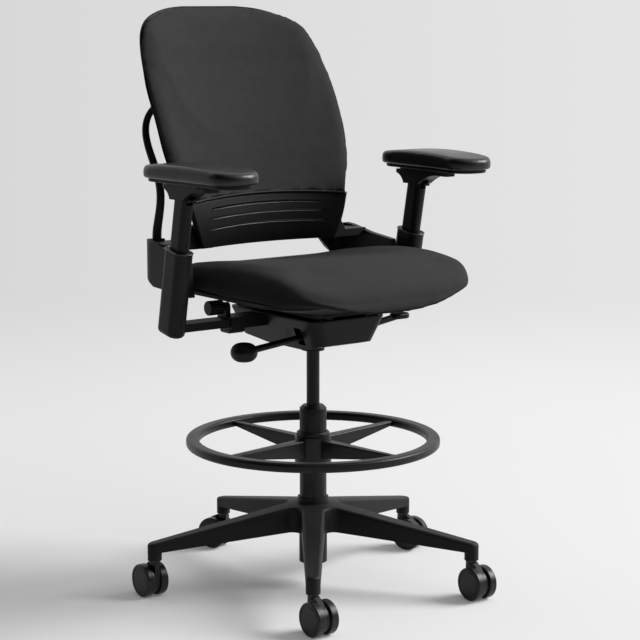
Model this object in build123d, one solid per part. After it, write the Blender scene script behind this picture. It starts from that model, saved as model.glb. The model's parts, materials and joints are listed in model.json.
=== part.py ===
"""Height-adjustable drafting chair with a foot ring, modelled as separate pieces.

Millimetres, +Z up. The origin is on the floor under the column. The chair faces -Y, so +X is
the sitter's left.
"""
from build123d import *
from functools import cache
from math import cos, radians, sin, tan
import os

# Clearances
RUNNING_FIT = 0.05
SLIDE_GAP = 0.3
SWIVEL_GAP = 0.4

# Casters
WHEEL_DIAMETER = 66.0
WHEEL_WIDTH = 17.0
WHEEL_DISC = 4.0
WHEEL_RIM = 5.0
WHEEL_HUB_DIAMETER = 18.0
WHEEL_EDGE_ROUND = 3.0
WHEEL_GROOVE_INSET = 6.0
WHEEL_GROOVE_WIDTH = 1.6
WHEEL_GROOVE_DEPTH = 1.0
CASTER_BODY_WIDTH = 12.0
CASTER_BODY_DIAMETER = 56.0
CASTER_TRAIL = 18.0
CASTER_HEADINGS = (0.0, 0.0, 25.0, 204.0, 180.0)
CASTER_BOSS_DIAMETER = 20.0
CASTER_BOSS_HEIGHT = 6.5
CASTER_HEADROOM = 0.7
AXLE_DIAMETER = 6.0
STEM_DIAMETER = 11.0
STEM_SPIGOT_DIAMETER = 7.5
STEM_SPIGOT_LENGTH = 22.0
STEM_FLANGE_DIAMETER = 19.0
STEM_FLANGE_THICKNESS = 2.4
STEM_DEPTH = 28.0

# Star base
LEG_COUNT = 5
LEG_HEADING = 233.4
STEM_CIRCLE_RADIUS = 328.0
LEG_ROOT_WIDTH = 50.0
LEG_TIP_WIDTH = 28.0
LEG_CROTCH_ROUND = 22.0
LEG_TOP_ROUND = 6.0
LEG_WALL = 4.0
LEG_RIB_COUNT = 3
TIP_BOSS_DROP = 16.0
TIP_HEIGHT = 20.0
ROOT_UNDERSIDE_RISE = 25.0
ROOT_HEIGHT = 53.0
HUB_SLEEVE_DIAMETER = 56.0
HUB_COLLAR_DIAMETER = 62.0
HUB_COLLAR_HEIGHT = 10.0
HUB_FLOOR_CLEARANCE = 46.0
HUB_BORE_DIAMETER = 50.0
HUB_BORE_TAPER = 1.5

# Column and gas lift
COLUMN_DIAMETER = 54.0
COLUMN_BORE_DIAMETER = 43.0
COLUMN_LENGTH = 302.0
COLUMN_FLOOR = 6.0
BUSH_CAP_DIAMETER = 54.0
BUSH_CAP_HEIGHT = 13.0
BUSH_CAP_CHAMFER = 6.0
BUSH_DEPTH = 62.0
CYLINDER_DIAMETER = 26.0
CYLINDER_TAPER = 0.8
CYLINDER_LENGTH = 372.0
CYLINDER_BORE_DEPTH = 240.0
ROD_DIAMETER = 10.0
ROD_LENGTH = 256.0
ROD_SHOULDER_DIAMETER = 18.0
ROD_SHOULDER_HEIGHT = 4.0
BEARING_DIAMETER = 28.0
BEARING_HEIGHT = 6.0
CLIP_DIAMETER = 18.0
CLIP_THICKNESS = 2.0
PIN_DIAMETER = 8.0
PIN_LENGTH = 26.0
PIN_REACH = 9.0

# Foot ring
FOOT_RING_DIAMETER = 508.0
FOOT_RING_HEIGHT = 295.0
HOOP_WIDTH = 26.0
HOOP_THICKNESS = 18.0
HOOP_ROUND = 6.0
SPOKE_COUNT = 4
SPOKE_HEADING = 278.4
SPOKE_ROOT_WIDTH = 26.0
SPOKE_TIP_WIDTH = 12.0
SPOKE_ROOT_DEPTH = 36.0
SPOKE_TIP_DEPTH = 8.0
SPOKE_TOP_RISE = 4.5
SPOKE_ROUND = 3.0
FOOT_HUB_DIAMETER = 74.0
FOOT_HUB_DROP = 43.0
FOOT_HUB_RISE = 9.0
FOOT_LINER_WALL = 2.7
FOOT_COLLAR_DIAMETER = 66.0
FOOT_COLLAR_HEIGHT = 10.0

# Seat
SEAT_HEIGHT = 660.0
CUSHION_THICKNESS = 53.0
CUSHION_SIDE_BULGE = 2.5
CUSHION_DRAW_IN = 7.0
PAN_DEPTH = 35.0
PAN_WALL = 5.0
PAN_RIM_HEIGHT = 7.0
PAN_HALF_WIDTH = 229.0
PAN_FRONT = -222.0
PAN_REAR = 172.0
PAN_CORNER = 80.0
PAN_FLOOR_HALF_WIDTH = 90.0
PAN_FLOOR_FRONT = -140.0
PAN_FLOOR_REAR = 112.0
PAN_FLOOR_CORNER = 40.0

# Seat slides
RAIL_WIDTH = 10.0
RAIL_HEIGHT = 5.0
RAIL_GUIDE_WALL = 4.0
LID_RAIL_SPACING = 96.0
CARRIAGE_RAIL_SPACING = 140.0
CARRIAGE_THICKNESS = 5.0
CARRIAGE_HALF_WIDTH = 80.0
CARRIAGE_FRONT = -118.0
CARRIAGE_REAR = 118.0

# Tilt mechanism
LID_THICKNESS = 3.0
HOUSING_DEPTH = 61.0
HOUSING_WALL = 4.0
HOUSING_TOP_HALF_WIDTH = 90.0
HOUSING_LOW_HALF_WIDTH = 66.0
HOUSING_TOP_FRONT = -125.0
HOUSING_LOW_FRONT = -108.0
HOUSING_TOP_REAR = 170.0
HOUSING_LOW_REAR = 152.0
HOUSING_CORNER = 24.0
HOUSING_CHIN_START = -58.0
HOUSING_CHIN_RISE = 16.0
HOUSING_TAIL_START = 62.0
HOUSING_TAIL_RISE = 12.0
SOCKET_DIAMETER = 46.0
SOCKET_DROP = 14.0
SOCKET_RISE = 46.0
RIB_THICKNESS = 4.0
LID_SCREW_DIAMETER = 6.0
LID_SCREW_LENGTH = 18.0
LID_SCREW_HEAD_DIAMETER = 11.0
LID_SCREW_HEAD_HEIGHT = 3.0
LID_BOSS_DIAMETER = 14.0
SHAFT_DIAMETER = 16.0
PIVOT_BACK = 112.0
PIVOT_RISE = 38.0
BUSH_PACK_DIAMETER = 34.0
BUSH_PACK_WIDTH = 24.0

# Arm bar receivers
RECEIVER_BACK = 65.0
RECEIVER_RISE = 49.5
RECEIVER_REACH = 168.0
RECEIVER_WALL = 3.0
ARM_BAR_DEPTH = 42.0
ARM_BAR_HEIGHT = 16.0
ARM_BAR_INNER_END = 108.0
LOCK_LENGTH = 38.0
LOCK_WIDTH = 30.0
LOCK_DROP = 11.0
LOCK_ROUND = 5.0

# Levers
LEVER_FORWARD = -60.0
LEVER_PIVOT_OFFSET = 56.0
LEVER_PIVOT_RISE = 28.0
LEVER_PIN_DIAMETER = 8.0
LEVER_ARM_DIAMETER = 13.0
LEVER_WIDTH = 22.0
LEVER_EAR_THICKNESS = 6.0
LEVER_WINDOW = 34.0
LEVER_FINGER_THICKNESS = 5.0
LEVER_FINGER_WIDTH = 18.0
BALL_REACH = 208.0
BALL_RISE = 11.0
BALL_DIAMETER = 52.0
BALL_HEIGHT = 36.0
PADDLE_REACH = 172.0
PADDLE_RISE = 46.0
PADDLE_LENGTH = 42.0
PADDLE_WIDTH = 30.0
PADDLE_THICKNESS = 11.0

# Tension knob
KNOB_BACK = 67.0
KNOB_RISE = 30.0
KNOB_DIAMETER = 29.0
KNOB_LENGTH = 33.0
KNOB_STANDOFF = 5.0
KNOB_RIB_COUNT = 14
KNOB_RIB_DIAMETER = 4.0
KNOB_SHAFT_DIAMETER = 8.0
KNOB_EAR_THICKNESS = 10.0
KNOB_EAR_WIDTH = 18.0

# Back yoke and uprights
WING_INNER_X = 246.0
WING_THICKNESS = 12.0
WING_FRONT = 50.0
YOKE_REAR = 233.0
YOKE_CORNER = 42.0
YOKE_BAND_LOW = 2.0
YOKE_BAND_HIGH = 27.0
YOKE_ARM_WIDTH = 72.0
YOKE_ARM_THICKNESS = 24.0
YOKE_ELBOW_BACK = 200.0
YOKE_ELBOW_RISE = 36.0
YOKE_BOSS_DIAMETER = 32.0
YOKE_LUG_REACH = 122.0
YOKE_LUG_FRONT = 153.0
YOKE_LUG_DEPTH = 57.0
YOKE_LUG_RISE = 15.0
YOKE_WEB_REACH = 44.0
HORN_RISE = 48.0
HORN_INNER_X = 165.0
HORN_TIP_X = 182.5
HORN_WAIST_X = 193.5
HORN_WAIST_RISE = 22.0
HORN_FOOT_X = 202.0
HORN_FOOT_RISE = 8.0
HORN_TIP_DEPTH = 18.0
UPRIGHT_FOOT_DIAMETER = 19.0
UPRIGHT_HEAD_DIAMETER = 13.0
UPRIGHT_SOCKET_WALL = 4.0
UPRIGHT_SOCKET_DEPTH = 30.0
UPRIGHT_EYE_DIAMETER = 20.0
UPRIGHT_EYE_WIDTH = 16.0
SHELL_PIN_DIAMETER = 8.0
SHELL_EAR_THICKNESS = 7.0

# Back shell and cushion
BACK_FOOT_RISE = 70.0
BACK_FOOT_ARCH = 2.0
BACK_FOOT_DROP = 1.0
BACK_SAG = 35.0
BACK_SAG_WIDTH = 220.0
BACK_CUSHION_THICKNESS = 24.0
BACK_CUSHION_EDGE = 13.0
BACK_SHELL_THICKNESS = 8.0
BACK_SHELL_EDGE = 6.0
BACK_LAYER_GAP = 1.6
BACK_SEAM_RISE = 102.5
BACK_SEAM_GAP = 2.0
BACK_SEAM_MARGIN = 34.0
BACK_LEDGE = 6.0
BACK_TOP_ROUND = 30.0
BACK_TOP_THINNING = 0.7
BACK_SEAM_DROP = 5.0
BACK_DROP_AT = 140.0
SLOT_HEIGHT = 3.0
SLOT_TILT = 20.0

# Arms
ARM_X = 285.0
ARM_LEAN = 11.0
SLEEVE_DEPTH = 65.0
SLEEVE_WIDTH = 38.0
SLEEVE_LENGTH = 169.5
SLEEVE_FLOOR = 26.0
SLEEVE_BOTTOM_ROUND = 10.0
SLEEVE_BACK = 76.0
SLEEVE_DROP = 15.0
STALK_DEPTH = 45.0
STALK_WIDTH = 25.0
STALK_LENGTH = 186.0
HEAD_FRONT = -80.0
HEAD_REAR = 78.0
HEAD_WIDTH = 38.0
HEAD_RISE = 213.0
HEAD_DEPTH = 7.0
HEAD_FLARE = 20.0
HEAD_BEND = 0.3
HEAD_GROOVE_WIDTH = 16.0
HEAD_GROOVE_DEPTH = 3.5
TRIGGER_WIDTH = 14.0
TRIGGER_LENGTH = 20.0
TRIGGER_THICKNESS = 6.0
TRIGGER_DROP = 28.0
TRIGGER_PIN_DIAMETER = 4.0
TRIGGER_PIN_SEAT = 3.0
TRIGGER_SETBACK = 9.0
TRIGGER_ROOM = 6.0
SLIDER_LENGTH = 130.0
SLIDER_WIDTH = 56.0
SLIDER_CORNER = 14.0
SLIDER_RIB_LENGTH = 60.0
SLIDER_THICKNESS = 5.0
PAD_PIVOT_DIAMETER = 18.0
PAD_PIVOT_Y = -10.0
PAD_X = 286.0
PAD_TOE_IN = 2.3
PAD_FORWARD = -32.0
PAD_LENGTH = 290.0
PAD_WIDTH = 100.0
PAD_CORNER = 46.0
PAD_CROWN = 31.0
PAD_END_THICKNESS = 22.0
PAD_TOP_ROUND = 9.0
PAD_BOTTOM_ROUND = 5.0
CARRIER_INSET = 9.0
CARRIER_THICKNESS = 7.0

# Seat outline from rear to front: y, half width, and heights over the pan rim of the top edge,
# the top centre, the underside edge and the underside centre
SEAT_STATIONS = (
    (188.0, 182.0, 25.0, 22.0, 7.0, 5.0),
    (178.0, 207.0, 38.0, 33.0, 3.0, 0.5),
    (150.0, 227.0, 45.0, 36.0, 0.5, -1.0),
    (80.0, 236.0, 54.0, 44.0, 0.5, -1.0),
    (0.0, 240.0, 63.0, 53.0, 0.5, -1.0),
    (-80.0, 241.0, 66.0, 61.0, 0.5, -1.0),
    (-150.0, 239.0, 63.0, 65.0, 0.5, -3.0),
    (-205.0, 227.0, 55.0, 58.0, 4.0, -9.0),
    (-240.0, 204.0, 40.0, 44.0, 10.0, -16.0),
    (-263.0, 160.0, 20.0, 25.0, 2.0, -21.0),
    (-274.0, 112.0, 1.0, 6.0, -9.0, -19.0),
)

# Back outline over the foot of the shell: height, half width, y of the front face at the centre
BACK_STATIONS = (
    (-12.0, 152.0, 164.0),
    (30.0, 172.0, 160.0),
    (75.0, 186.0, 164.0),
    (123.0, 200.0, 177.0),
    (173.0, 216.0, 195.0),
    (223.0, 221.0, 214.0),
    (283.0, 222.0, 242.0),
    (343.0, 217.5, 272.0),
    (403.0, 205.5, 301.0),
    (440.0, 184.0, 318.0),
    (455.0, 160.0, 327.5),
    (465.0, 133.0, 333.5),
    (471.5, 103.0, 337.5),
    (475.0, 66.0, 340.0),
)

# Slots across the lower shell: height over the foot at the centre, half length
SHELL_SLOTS = ((43.5, 150.0), (64.0, 143.0), (82.5, 136.0))

# Side view of a yoke wing: y, height over the pan rim
WING_OUTLINE = (
    (50.0, -8.0),
    (60.0, 69.0),
    (134.0, 77.0),
    (212.0, 91.0),
    (226.0, 66.0),
    (233.0, 41.0),
    (228.0, 28.0),
    (208.0, 12.0),
    (182.0, -1.0),
)

# Route of an upright from the yoke to the shell: x, y, height over the pan rim
UPRIGHT_ROUTE = (
    (225.0, 213.0, 74.0),
    (220.0, 221.0, 120.0),
    (214.0, 220.0, 168.0),
    (216.0, 254.0, 258.0),
    (214.0, 271.0, 312.0),
    (196.0, 259.0, 350.0),
)

# Levels and places worked out from the sizes above
AXLE_HEIGHT = WHEEL_DIAMETER / 2
BOSS_LOW = WHEEL_DIAMETER + CASTER_HEADROOM
BOSS_TOP = BOSS_LOW + CASTER_BOSS_HEIGHT
TIP_BOTTOM = BOSS_TOP + SWIVEL_GAP + STEM_FLANGE_THICKNESS
TIP_UNDERSIDE = TIP_BOTTOM + TIP_BOSS_DROP
TIP_TOP = TIP_UNDERSIDE + TIP_HEIGHT
ROOT_UNDERSIDE = TIP_UNDERSIDE + ROOT_UNDERSIDE_RISE
ROOT_TOP = ROOT_UNDERSIDE + ROOT_HEIGHT
HUB_TOP = ROOT_TOP + HUB_COLLAR_HEIGHT
COLUMN_LOW = HUB_FLOOR_CLEARANCE + COLUMN_FLOOR
COLUMN_TOP = COLUMN_LOW + COLUMN_LENGTH
COLUMN_FLOOR_TOP = COLUMN_LOW + COLUMN_FLOOR
RIM = SEAT_HEIGHT - CUSHION_THICKNESS
PAN_LOW = RIM - PAN_DEPTH
RAIL_STEP = RAIL_HEIGHT + SLIDE_GAP
CARRIAGE_TOP = PAN_LOW - RAIL_STEP
CARRIAGE_LOW = CARRIAGE_TOP - CARRIAGE_THICKNESS
LID_TOP = CARRIAGE_LOW - RAIL_STEP
HOUSING_TOP = LID_TOP - LID_THICKNESS
HOUSING_LOW = HOUSING_TOP - HOUSING_DEPTH
SOCKET_LOW = HOUSING_LOW - SOCKET_DROP
SOCKET_TOP = HOUSING_LOW + SOCKET_RISE
CYLINDER_TOP = SOCKET_TOP - SLIDE_GAP
CYLINDER_LOW = CYLINDER_TOP - CYLINDER_LENGTH
PIVOT_HEIGHT = HOUSING_LOW + PIVOT_RISE
RECEIVER_HEIGHT = HOUSING_LOW + RECEIVER_RISE
LEVER_PIVOT_HEIGHT = HOUSING_LOW + LEVER_PIVOT_RISE
KNOB_HEIGHT = RECEIVER_HEIGHT + KNOB_RISE
BACK_FOOT = RIM + BACK_FOOT_RISE
SLEEVE_LOW = RECEIVER_HEIGHT - SLEEVE_DROP
HEAD_TOP = RIM + HEAD_RISE
SLIDER_LOW = HEAD_TOP + SLIDE_GAP
SLIDER_TOP = SLIDER_LOW + SLIDER_THICKNESS
CARRIER_LOW = SLIDER_TOP + SLIDE_GAP
PAD_LOW = CARRIER_LOW + CARRIER_THICKNESS
SIDES = {"left": 1, "right": -1}


def rod(radius, low, high):
    """Upright round bar between two heights."""
    return Pos(0, 0, (low + high) / 2) * Cylinder(radius, high - low)


def ring(outer, inner, low, high):
    """Upright tube between two heights."""
    return rod(outer, low, high) - rod(inner, low, high)


def cone(low_radius, high_radius, low, high):
    """Upright tapered bar between two heights."""
    return Pos(0, 0, (low + high) / 2) * Cone(low_radius, high_radius, high - low)


def rod_x(radius, start, end, y=0.0, z=0.0):
    """Round bar along X."""
    return Pos((start + end) / 2, y, z) * Rot(0, 90, 0) * Cylinder(radius, end - start)


def rod_y(radius, start, end, x=0.0, z=0.0):
    """Round bar along Y."""
    return Pos(x, (start + end) / 2, z) * Rot(90, 0, 0) * Cylinder(radius, end - start)


def block(x0, x1, y0, y1, z0, z1):
    """Box between two corners."""
    middle = Pos((x0 + x1) / 2, (y0 + y1) / 2, (z0 + z1) / 2)
    return middle * Box(abs(x1 - x0), abs(y1 - y0), abs(z1 - z0))


def revolved(points):
    """Body of revolution about Z from (radius, height) corners."""
    return revolve(Plane.XZ * Polygon(*points, align=None), Axis.Z)


def side_plate(points, left, right):
    """Plate along X from (y, z) corners."""
    face = Plane.YZ * Polygon(*points, align=None)
    return Pos(left, 0, 0) * extrude(face, right - left, dir=(1, 0, 0))


def around(count, heading, shape):
    """Copies of a shape turned evenly about Z, as one."""
    copies = [Rot(0, 0, heading + 360 * k / count) * shape for k in range(count)]
    return copies[0] + copies[1:]


def spoke_plan(count, heading, root_width, tip_width, reach, crotch):
    """Plan of tapered spokes that meet in rounded crotches."""
    half_root = root_width / 2
    half_tip = tip_width / 2
    spoke = Polygon((0, -half_root), (reach, -half_tip), (reach, half_tip), (0, half_root), align=None)
    plan = around(count, heading, spoke)
    crotches = [v for v in plan.vertices() if Vector(v.X, v.Y).length < 2 * root_width]
    return fillet(crotches, crotch)


def leg_points():
    """Centres of the caster stems."""
    for k in range(LEG_COUNT):
        angle = radians(LEG_HEADING + 360 * k / LEG_COUNT)
        yield k + 1, Pos(STEM_CIRCLE_RADIUS * cos(angle), STEM_CIRCLE_RADIUS * sin(angle), 0)


def leg_height(radius, root, tip):
    """Height of a leg face that falls evenly from the hub to the stem."""
    hub = HUB_SLEEVE_DIAMETER / 2
    return root + (tip - root) * (radius - hub) / (STEM_CIRCLE_RADIUS - hub)


def leg_band(under_shift, top_shift):
    """Body of revolution between the underside and the top of the legs."""
    reach = STEM_CIRCLE_RADIUS + LEG_TIP_WIDTH
    hub = HUB_SLEEVE_DIAMETER / 2
    return revolved((
        (0, ROOT_UNDERSIDE + under_shift),
        (hub, ROOT_UNDERSIDE + under_shift),
        (reach, leg_height(reach, ROOT_UNDERSIDE, TIP_UNDERSIDE) + under_shift),
        (reach, leg_height(reach, ROOT_TOP, TIP_TOP) + top_shift),
        (hub, ROOT_TOP + top_shift),
        (0, ROOT_TOP + top_shift),
    ))


def base_star():
    """Five hollow moulded legs round a long tapered hub."""
    cores = [place * Circle(LEG_TIP_WIDTH / 2) for _, place in leg_points()]
    plan = spoke_plan(LEG_COUNT, LEG_HEADING, LEG_ROOT_WIDTH, LEG_TIP_WIDTH,
                      STEM_CIRCLE_RADIUS, LEG_CROTCH_ROUND) + cores
    star = extrude(plan, HUB_TOP) & leg_band(0, 0)
    upper = [f for f in star.faces() if f.geom_type == GeomType.CONE and f.normal_at().Z > 0]
    star = fillet(upper[0].outer_wire().edges(), LEG_TOP_ROUND)
    tip = rod(LEG_TIP_WIDTH / 2, TIP_BOTTOM, TIP_UNDERSIDE + LEG_WALL)
    bosses = [place * tip for _, place in leg_points()]
    pocket_plan = offset(plan, -LEG_WALL) - cores - Circle(HUB_SLEEVE_DIAMETER / 2)
    rib_step = (STEM_CIRCLE_RADIUS - HUB_SLEEVE_DIAMETER) / (LEG_RIB_COUNT + 1)
    for k in range(LEG_RIB_COUNT):
        radius = HUB_SLEEVE_DIAMETER + rib_step * (k + 0.5)
        pocket_plan -= Circle(radius + LEG_WALL / 2) - Circle(radius - LEG_WALL / 2)
    star -= extrude(pocket_plan, HUB_TOP) & leg_band(-LEG_WALL, -LEG_WALL)
    star = star + bosses
    star += rod(HUB_SLEEVE_DIAMETER / 2, HUB_FLOOR_CLEARANCE, HUB_TOP)
    star += rod(HUB_COLLAR_DIAMETER / 2, ROOT_TOP, HUB_TOP)
    star -= hub_taper()
    bore = rod(STEM_DIAMETER / 2, TIP_BOTTOM, TIP_BOTTOM + STEM_DEPTH)
    return star - [place * bore for _, place in leg_points()]


def hub_taper():
    """Taper shared by the hub bore and the foot of the column."""
    high = HUB_BORE_DIAMETER / 2
    return cone(high - HUB_BORE_TAPER, high, HUB_FLOOR_CLEARANCE, HUB_TOP)


def caster_stems():
    """Stems pressed into the leg tips, each with a thrust flange and a lower spigot."""
    flange_low = TIP_BOTTOM - STEM_FLANGE_THICKNESS
    stem = rod(STEM_DIAMETER / 2, TIP_BOTTOM, TIP_BOTTOM + STEM_DEPTH)
    stem += rod(STEM_FLANGE_DIAMETER / 2, flange_low, TIP_BOTTOM)
    stem += rod(STEM_SPIGOT_DIAMETER / 2, flange_low - STEM_SPIGOT_LENGTH, flange_low)
    return Compound(children=[place * stem for _, place in leg_points()])


def caster_body():
    """Centre body of a twin-wheel caster with its axle."""
    disc = Pos(-CASTER_TRAIL, AXLE_HEIGHT) * Circle(CASTER_BODY_DIAMETER / 2)
    boss_middle = (BOSS_LOW + BOSS_TOP) / 2
    boss = Pos(0, boss_middle) * Rectangle(CASTER_BOSS_DIAMETER, CASTER_BOSS_HEIGHT)
    outline = make_hull(disc.edges() + boss.edges())
    body = extrude(Plane.YZ * outline, CASTER_BODY_WIDTH / 2, both=True)
    body += rod(CASTER_BOSS_DIAMETER / 2, BOSS_LOW, BOSS_TOP)
    bore_low = TIP_BOTTOM - STEM_FLANGE_THICKNESS - STEM_SPIGOT_LENGTH - SWIVEL_GAP
    body -= rod(STEM_SPIGOT_DIAMETER / 2 + RUNNING_FIT, bore_low, BOSS_TOP)
    axle_end = CASTER_BODY_WIDTH / 2 + WHEEL_WIDTH - WHEEL_DISC
    return body + rod_x(AXLE_DIAMETER / 2, -axle_end, axle_end, -CASTER_TRAIL, AXLE_HEIGHT)


def caster_wheel(side):
    """Cup-shaped wheel with a grooved outer disc, open towards the caster body."""
    radius = WHEEL_DIAMETER / 2
    bore = AXLE_DIAMETER / 2 + RUNNING_FIT
    web = WHEEL_WIDTH - WHEEL_DISC
    groove = radius - WHEEL_GROOVE_INSET
    edge = WHEEL_EDGE_ROUND
    outline = Polygon(
        (0, bore),
        (0, WHEEL_HUB_DIAMETER / 2),
        (web, WHEEL_HUB_DIAMETER / 2),
        (web, radius - WHEEL_RIM),
        (0, radius - WHEEL_RIM),
        (0, radius),
        (WHEEL_WIDTH, radius),
        (WHEEL_WIDTH, groove),
        (WHEEL_WIDTH - WHEEL_GROOVE_DEPTH, groove),
        (WHEEL_WIDTH - WHEEL_GROOVE_DEPTH, groove - WHEEL_GROOVE_WIDTH),
        (WHEEL_WIDTH, groove - WHEEL_GROOVE_WIDTH),
        (WHEEL_WIDTH, 0),
        (web + SWIVEL_GAP, 0),
        (web + SWIVEL_GAP, bore),
        align=None,
    )
    tread = [v for v in outline.vertices() if abs(v.Y - radius) < RUNNING_FIT]
    outline = fillet(tread, edge)
    wheel = revolve(outline, Axis.X)
    wheel = Pos(CASTER_BODY_WIDTH / 2 + SWIVEL_GAP, -CASTER_TRAIL, AXLE_HEIGHT) * wheel
    return wheel if side > 0 else mirror(wheel, about=Plane.YZ)


def column_tube():
    """Outer column: plain tube over a tapered foot with a floor for the bearing."""
    tube = rod(COLUMN_DIAMETER / 2, HUB_TOP, COLUMN_TOP)
    tube += hub_taper() & rod(COLUMN_DIAMETER, COLUMN_LOW, HUB_TOP)
    tube -= rod(COLUMN_BORE_DIAMETER / 2, COLUMN_FLOOR_TOP, COLUMN_TOP)
    return tube - rod(ROD_DIAMETER / 2 + RUNNING_FIT, COLUMN_LOW, COLUMN_FLOOR_TOP)


def column_bush():
    """Guide bush pressed into the column, with a chamfered cap."""
    bush = rod(COLUMN_BORE_DIAMETER / 2, COLUMN_TOP - BUSH_DEPTH, COLUMN_TOP)
    cap = rod(BUSH_CAP_DIAMETER / 2, COLUMN_TOP, COLUMN_TOP + BUSH_CAP_HEIGHT)
    bush += chamfer(cap.edges().group_by(Axis.Z)[-1], BUSH_CAP_CHAMFER)
    bore = CYLINDER_DIAMETER / 2 + RUNNING_FIT
    return bush - rod(bore, COLUMN_TOP - BUSH_DEPTH, COLUMN_TOP + BUSH_CAP_HEIGHT)


def rod_bearing():
    """Thrust bearing on the column floor."""
    low = COLUMN_FLOOR_TOP
    return ring(BEARING_DIAMETER / 2, ROD_DIAMETER / 2 + RUNNING_FIT, low, low + BEARING_HEIGHT)


def piston_rod():
    """Rod of the gas spring, standing on the bearing by its shoulder."""
    low = COLUMN_LOW - 2 * CLIP_THICKNESS - SWIVEL_GAP
    shoulder = COLUMN_FLOOR_TOP + BEARING_HEIGHT + RUNNING_FIT
    piston = rod(ROD_DIAMETER / 2, low, low + ROD_LENGTH)
    return piston + rod(ROD_SHOULDER_DIAMETER / 2, shoulder, shoulder + ROD_SHOULDER_HEIGHT)


def rod_clip():
    """Clip on the rod under the column floor."""
    high = COLUMN_LOW - SWIVEL_GAP
    return ring(CLIP_DIAMETER / 2, ROD_DIAMETER / 2, high - CLIP_THICKNESS, high)


def socket_taper():
    """Taper shared by the top of the gas cylinder and the housing socket."""
    radius = CYLINDER_DIAMETER / 2
    return cone(radius, radius - CYLINDER_TAPER, SOCKET_LOW, SOCKET_TOP)


def gas_cylinder():
    """Gas cylinder that slides in the column bush and holds the mechanism on its taper."""
    cylinder = rod(CYLINDER_DIAMETER / 2, CYLINDER_LOW, SOCKET_LOW)
    cylinder += socket_taper() & rod(CYLINDER_DIAMETER, SOCKET_LOW, CYLINDER_TOP)
    rod_bore = ROD_DIAMETER / 2 + RUNNING_FIT
    cylinder -= rod(rod_bore, CYLINDER_LOW, CYLINDER_LOW + CYLINDER_BORE_DEPTH)
    pin_bore = PIN_DIAMETER / 2 + RUNNING_FIT
    return cylinder - rod(pin_bore, CYLINDER_TOP - PIN_LENGTH, CYLINDER_TOP)


def release_pin():
    """Valve pin in the top of the gas cylinder."""
    high = CYLINDER_TOP + PIN_REACH
    return rod(PIN_DIAMETER / 2, high - PIN_LENGTH, high)


@cache
def foot_hoop():
    """Flat oval hoop that the feet rest on."""
    radius = (FOOT_RING_DIAMETER - HOOP_WIDTH) / 2
    section = Pos(radius, FOOT_RING_HEIGHT) * RectangleRounded(HOOP_WIDTH, HOOP_THICKNESS, HOOP_ROUND)
    return revolve(Plane.XZ * section, Axis.Z)


def foot_spider():
    """Hub and four blade spokes that end on the hoop."""
    reach = FOOT_RING_DIAMETER / 2 - HOOP_WIDTH
    hub = FOOT_HUB_DIAMETER / 2
    top = FOOT_RING_HEIGHT + SPOKE_TOP_RISE
    plan = spoke_plan(SPOKE_COUNT, SPOKE_HEADING, SPOKE_ROOT_WIDTH, SPOKE_TIP_WIDTH,
                      reach + HOOP_WIDTH / 2, SPOKE_ROOT_WIDTH / 2)
    band = revolved((
        (0, top - SPOKE_ROOT_DEPTH),
        (hub, top - SPOKE_ROOT_DEPTH),
        (reach, top - SPOKE_TIP_DEPTH),
        (reach + HOOP_WIDTH, top - SPOKE_TIP_DEPTH),
        (reach + HOOP_WIDTH, top),
        (0, top),
    ))
    spider = extrude(plan, 2 * FOOT_RING_HEIGHT) & band
    flat = spider.faces().sort_by(Axis.Z)[-1]
    spider = fillet(flat.outer_wire().edges(), SPOKE_ROUND)
    spider += rod(hub, FOOT_RING_HEIGHT - FOOT_HUB_DROP, FOOT_RING_HEIGHT + FOOT_HUB_RISE)
    spider -= foot_hoop()
    bore = COLUMN_DIAMETER / 2 + SLIDE_GAP + FOOT_LINER_WALL
    return spider - rod(bore, 0, 2 * FOOT_RING_HEIGHT)


def foot_liner():
    """Plastic liner between the foot ring hub and the column."""
    inner = COLUMN_DIAMETER / 2 + SLIDE_GAP
    low = FOOT_RING_HEIGHT - FOOT_HUB_DROP
    return ring(inner + FOOT_LINER_WALL, inner, low, FOOT_RING_HEIGHT + FOOT_HUB_RISE)


def foot_collar():
    """Clamping collar on top of the foot ring hub."""
    inner = COLUMN_DIAMETER / 2 + SLIDE_GAP
    low = FOOT_RING_HEIGHT + FOOT_HUB_RISE
    collar = rod(FOOT_COLLAR_DIAMETER / 2, low, low + FOOT_COLLAR_HEIGHT)
    collar = chamfer(collar.edges().group_by(Axis.Z)[-1], FOOT_COLLAR_HEIGHT / 4)
    return collar - rod(inner, low, low + FOOT_COLLAR_HEIGHT)


def rounded_plan(half_width, front, rear, corner, height):
    """Rounded rectangle about the centre plane at one height."""
    place = Pos(0, (front + rear) / 2, height)
    return place * RectangleRounded(2 * half_width, rear - front, corner)


def housing_body(inset):
    """Flared tray of the housing, drawn in by a wall, with its sloping chin and tail."""
    low = HOUSING_LOW
    tray = loft([
        rounded_plan(HOUSING_LOW_HALF_WIDTH - inset, HOUSING_LOW_FRONT + inset,
                     HOUSING_LOW_REAR - inset, HOUSING_CORNER - inset, low),
        rounded_plan(HOUSING_TOP_HALF_WIDTH - inset, HOUSING_TOP_FRONT + inset,
                     HOUSING_TOP_REAR - inset, HOUSING_CORNER - inset, HOUSING_TOP),
    ])
    profile = (
        (HOUSING_TOP_FRONT, low + HOUSING_CHIN_RISE + inset),
        (HOUSING_CHIN_START, low + inset),
        (HOUSING_TAIL_START, low + inset),
        (HOUSING_TOP_REAR, low + HOUSING_TAIL_RISE + inset),
        (HOUSING_TOP_REAR, HOUSING_TOP),
        (HOUSING_TOP_FRONT, HOUSING_TOP),
    )
    return tray & side_plate(profile, -HOUSING_TOP_HALF_WIDTH, HOUSING_TOP_HALF_WIDTH)


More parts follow.
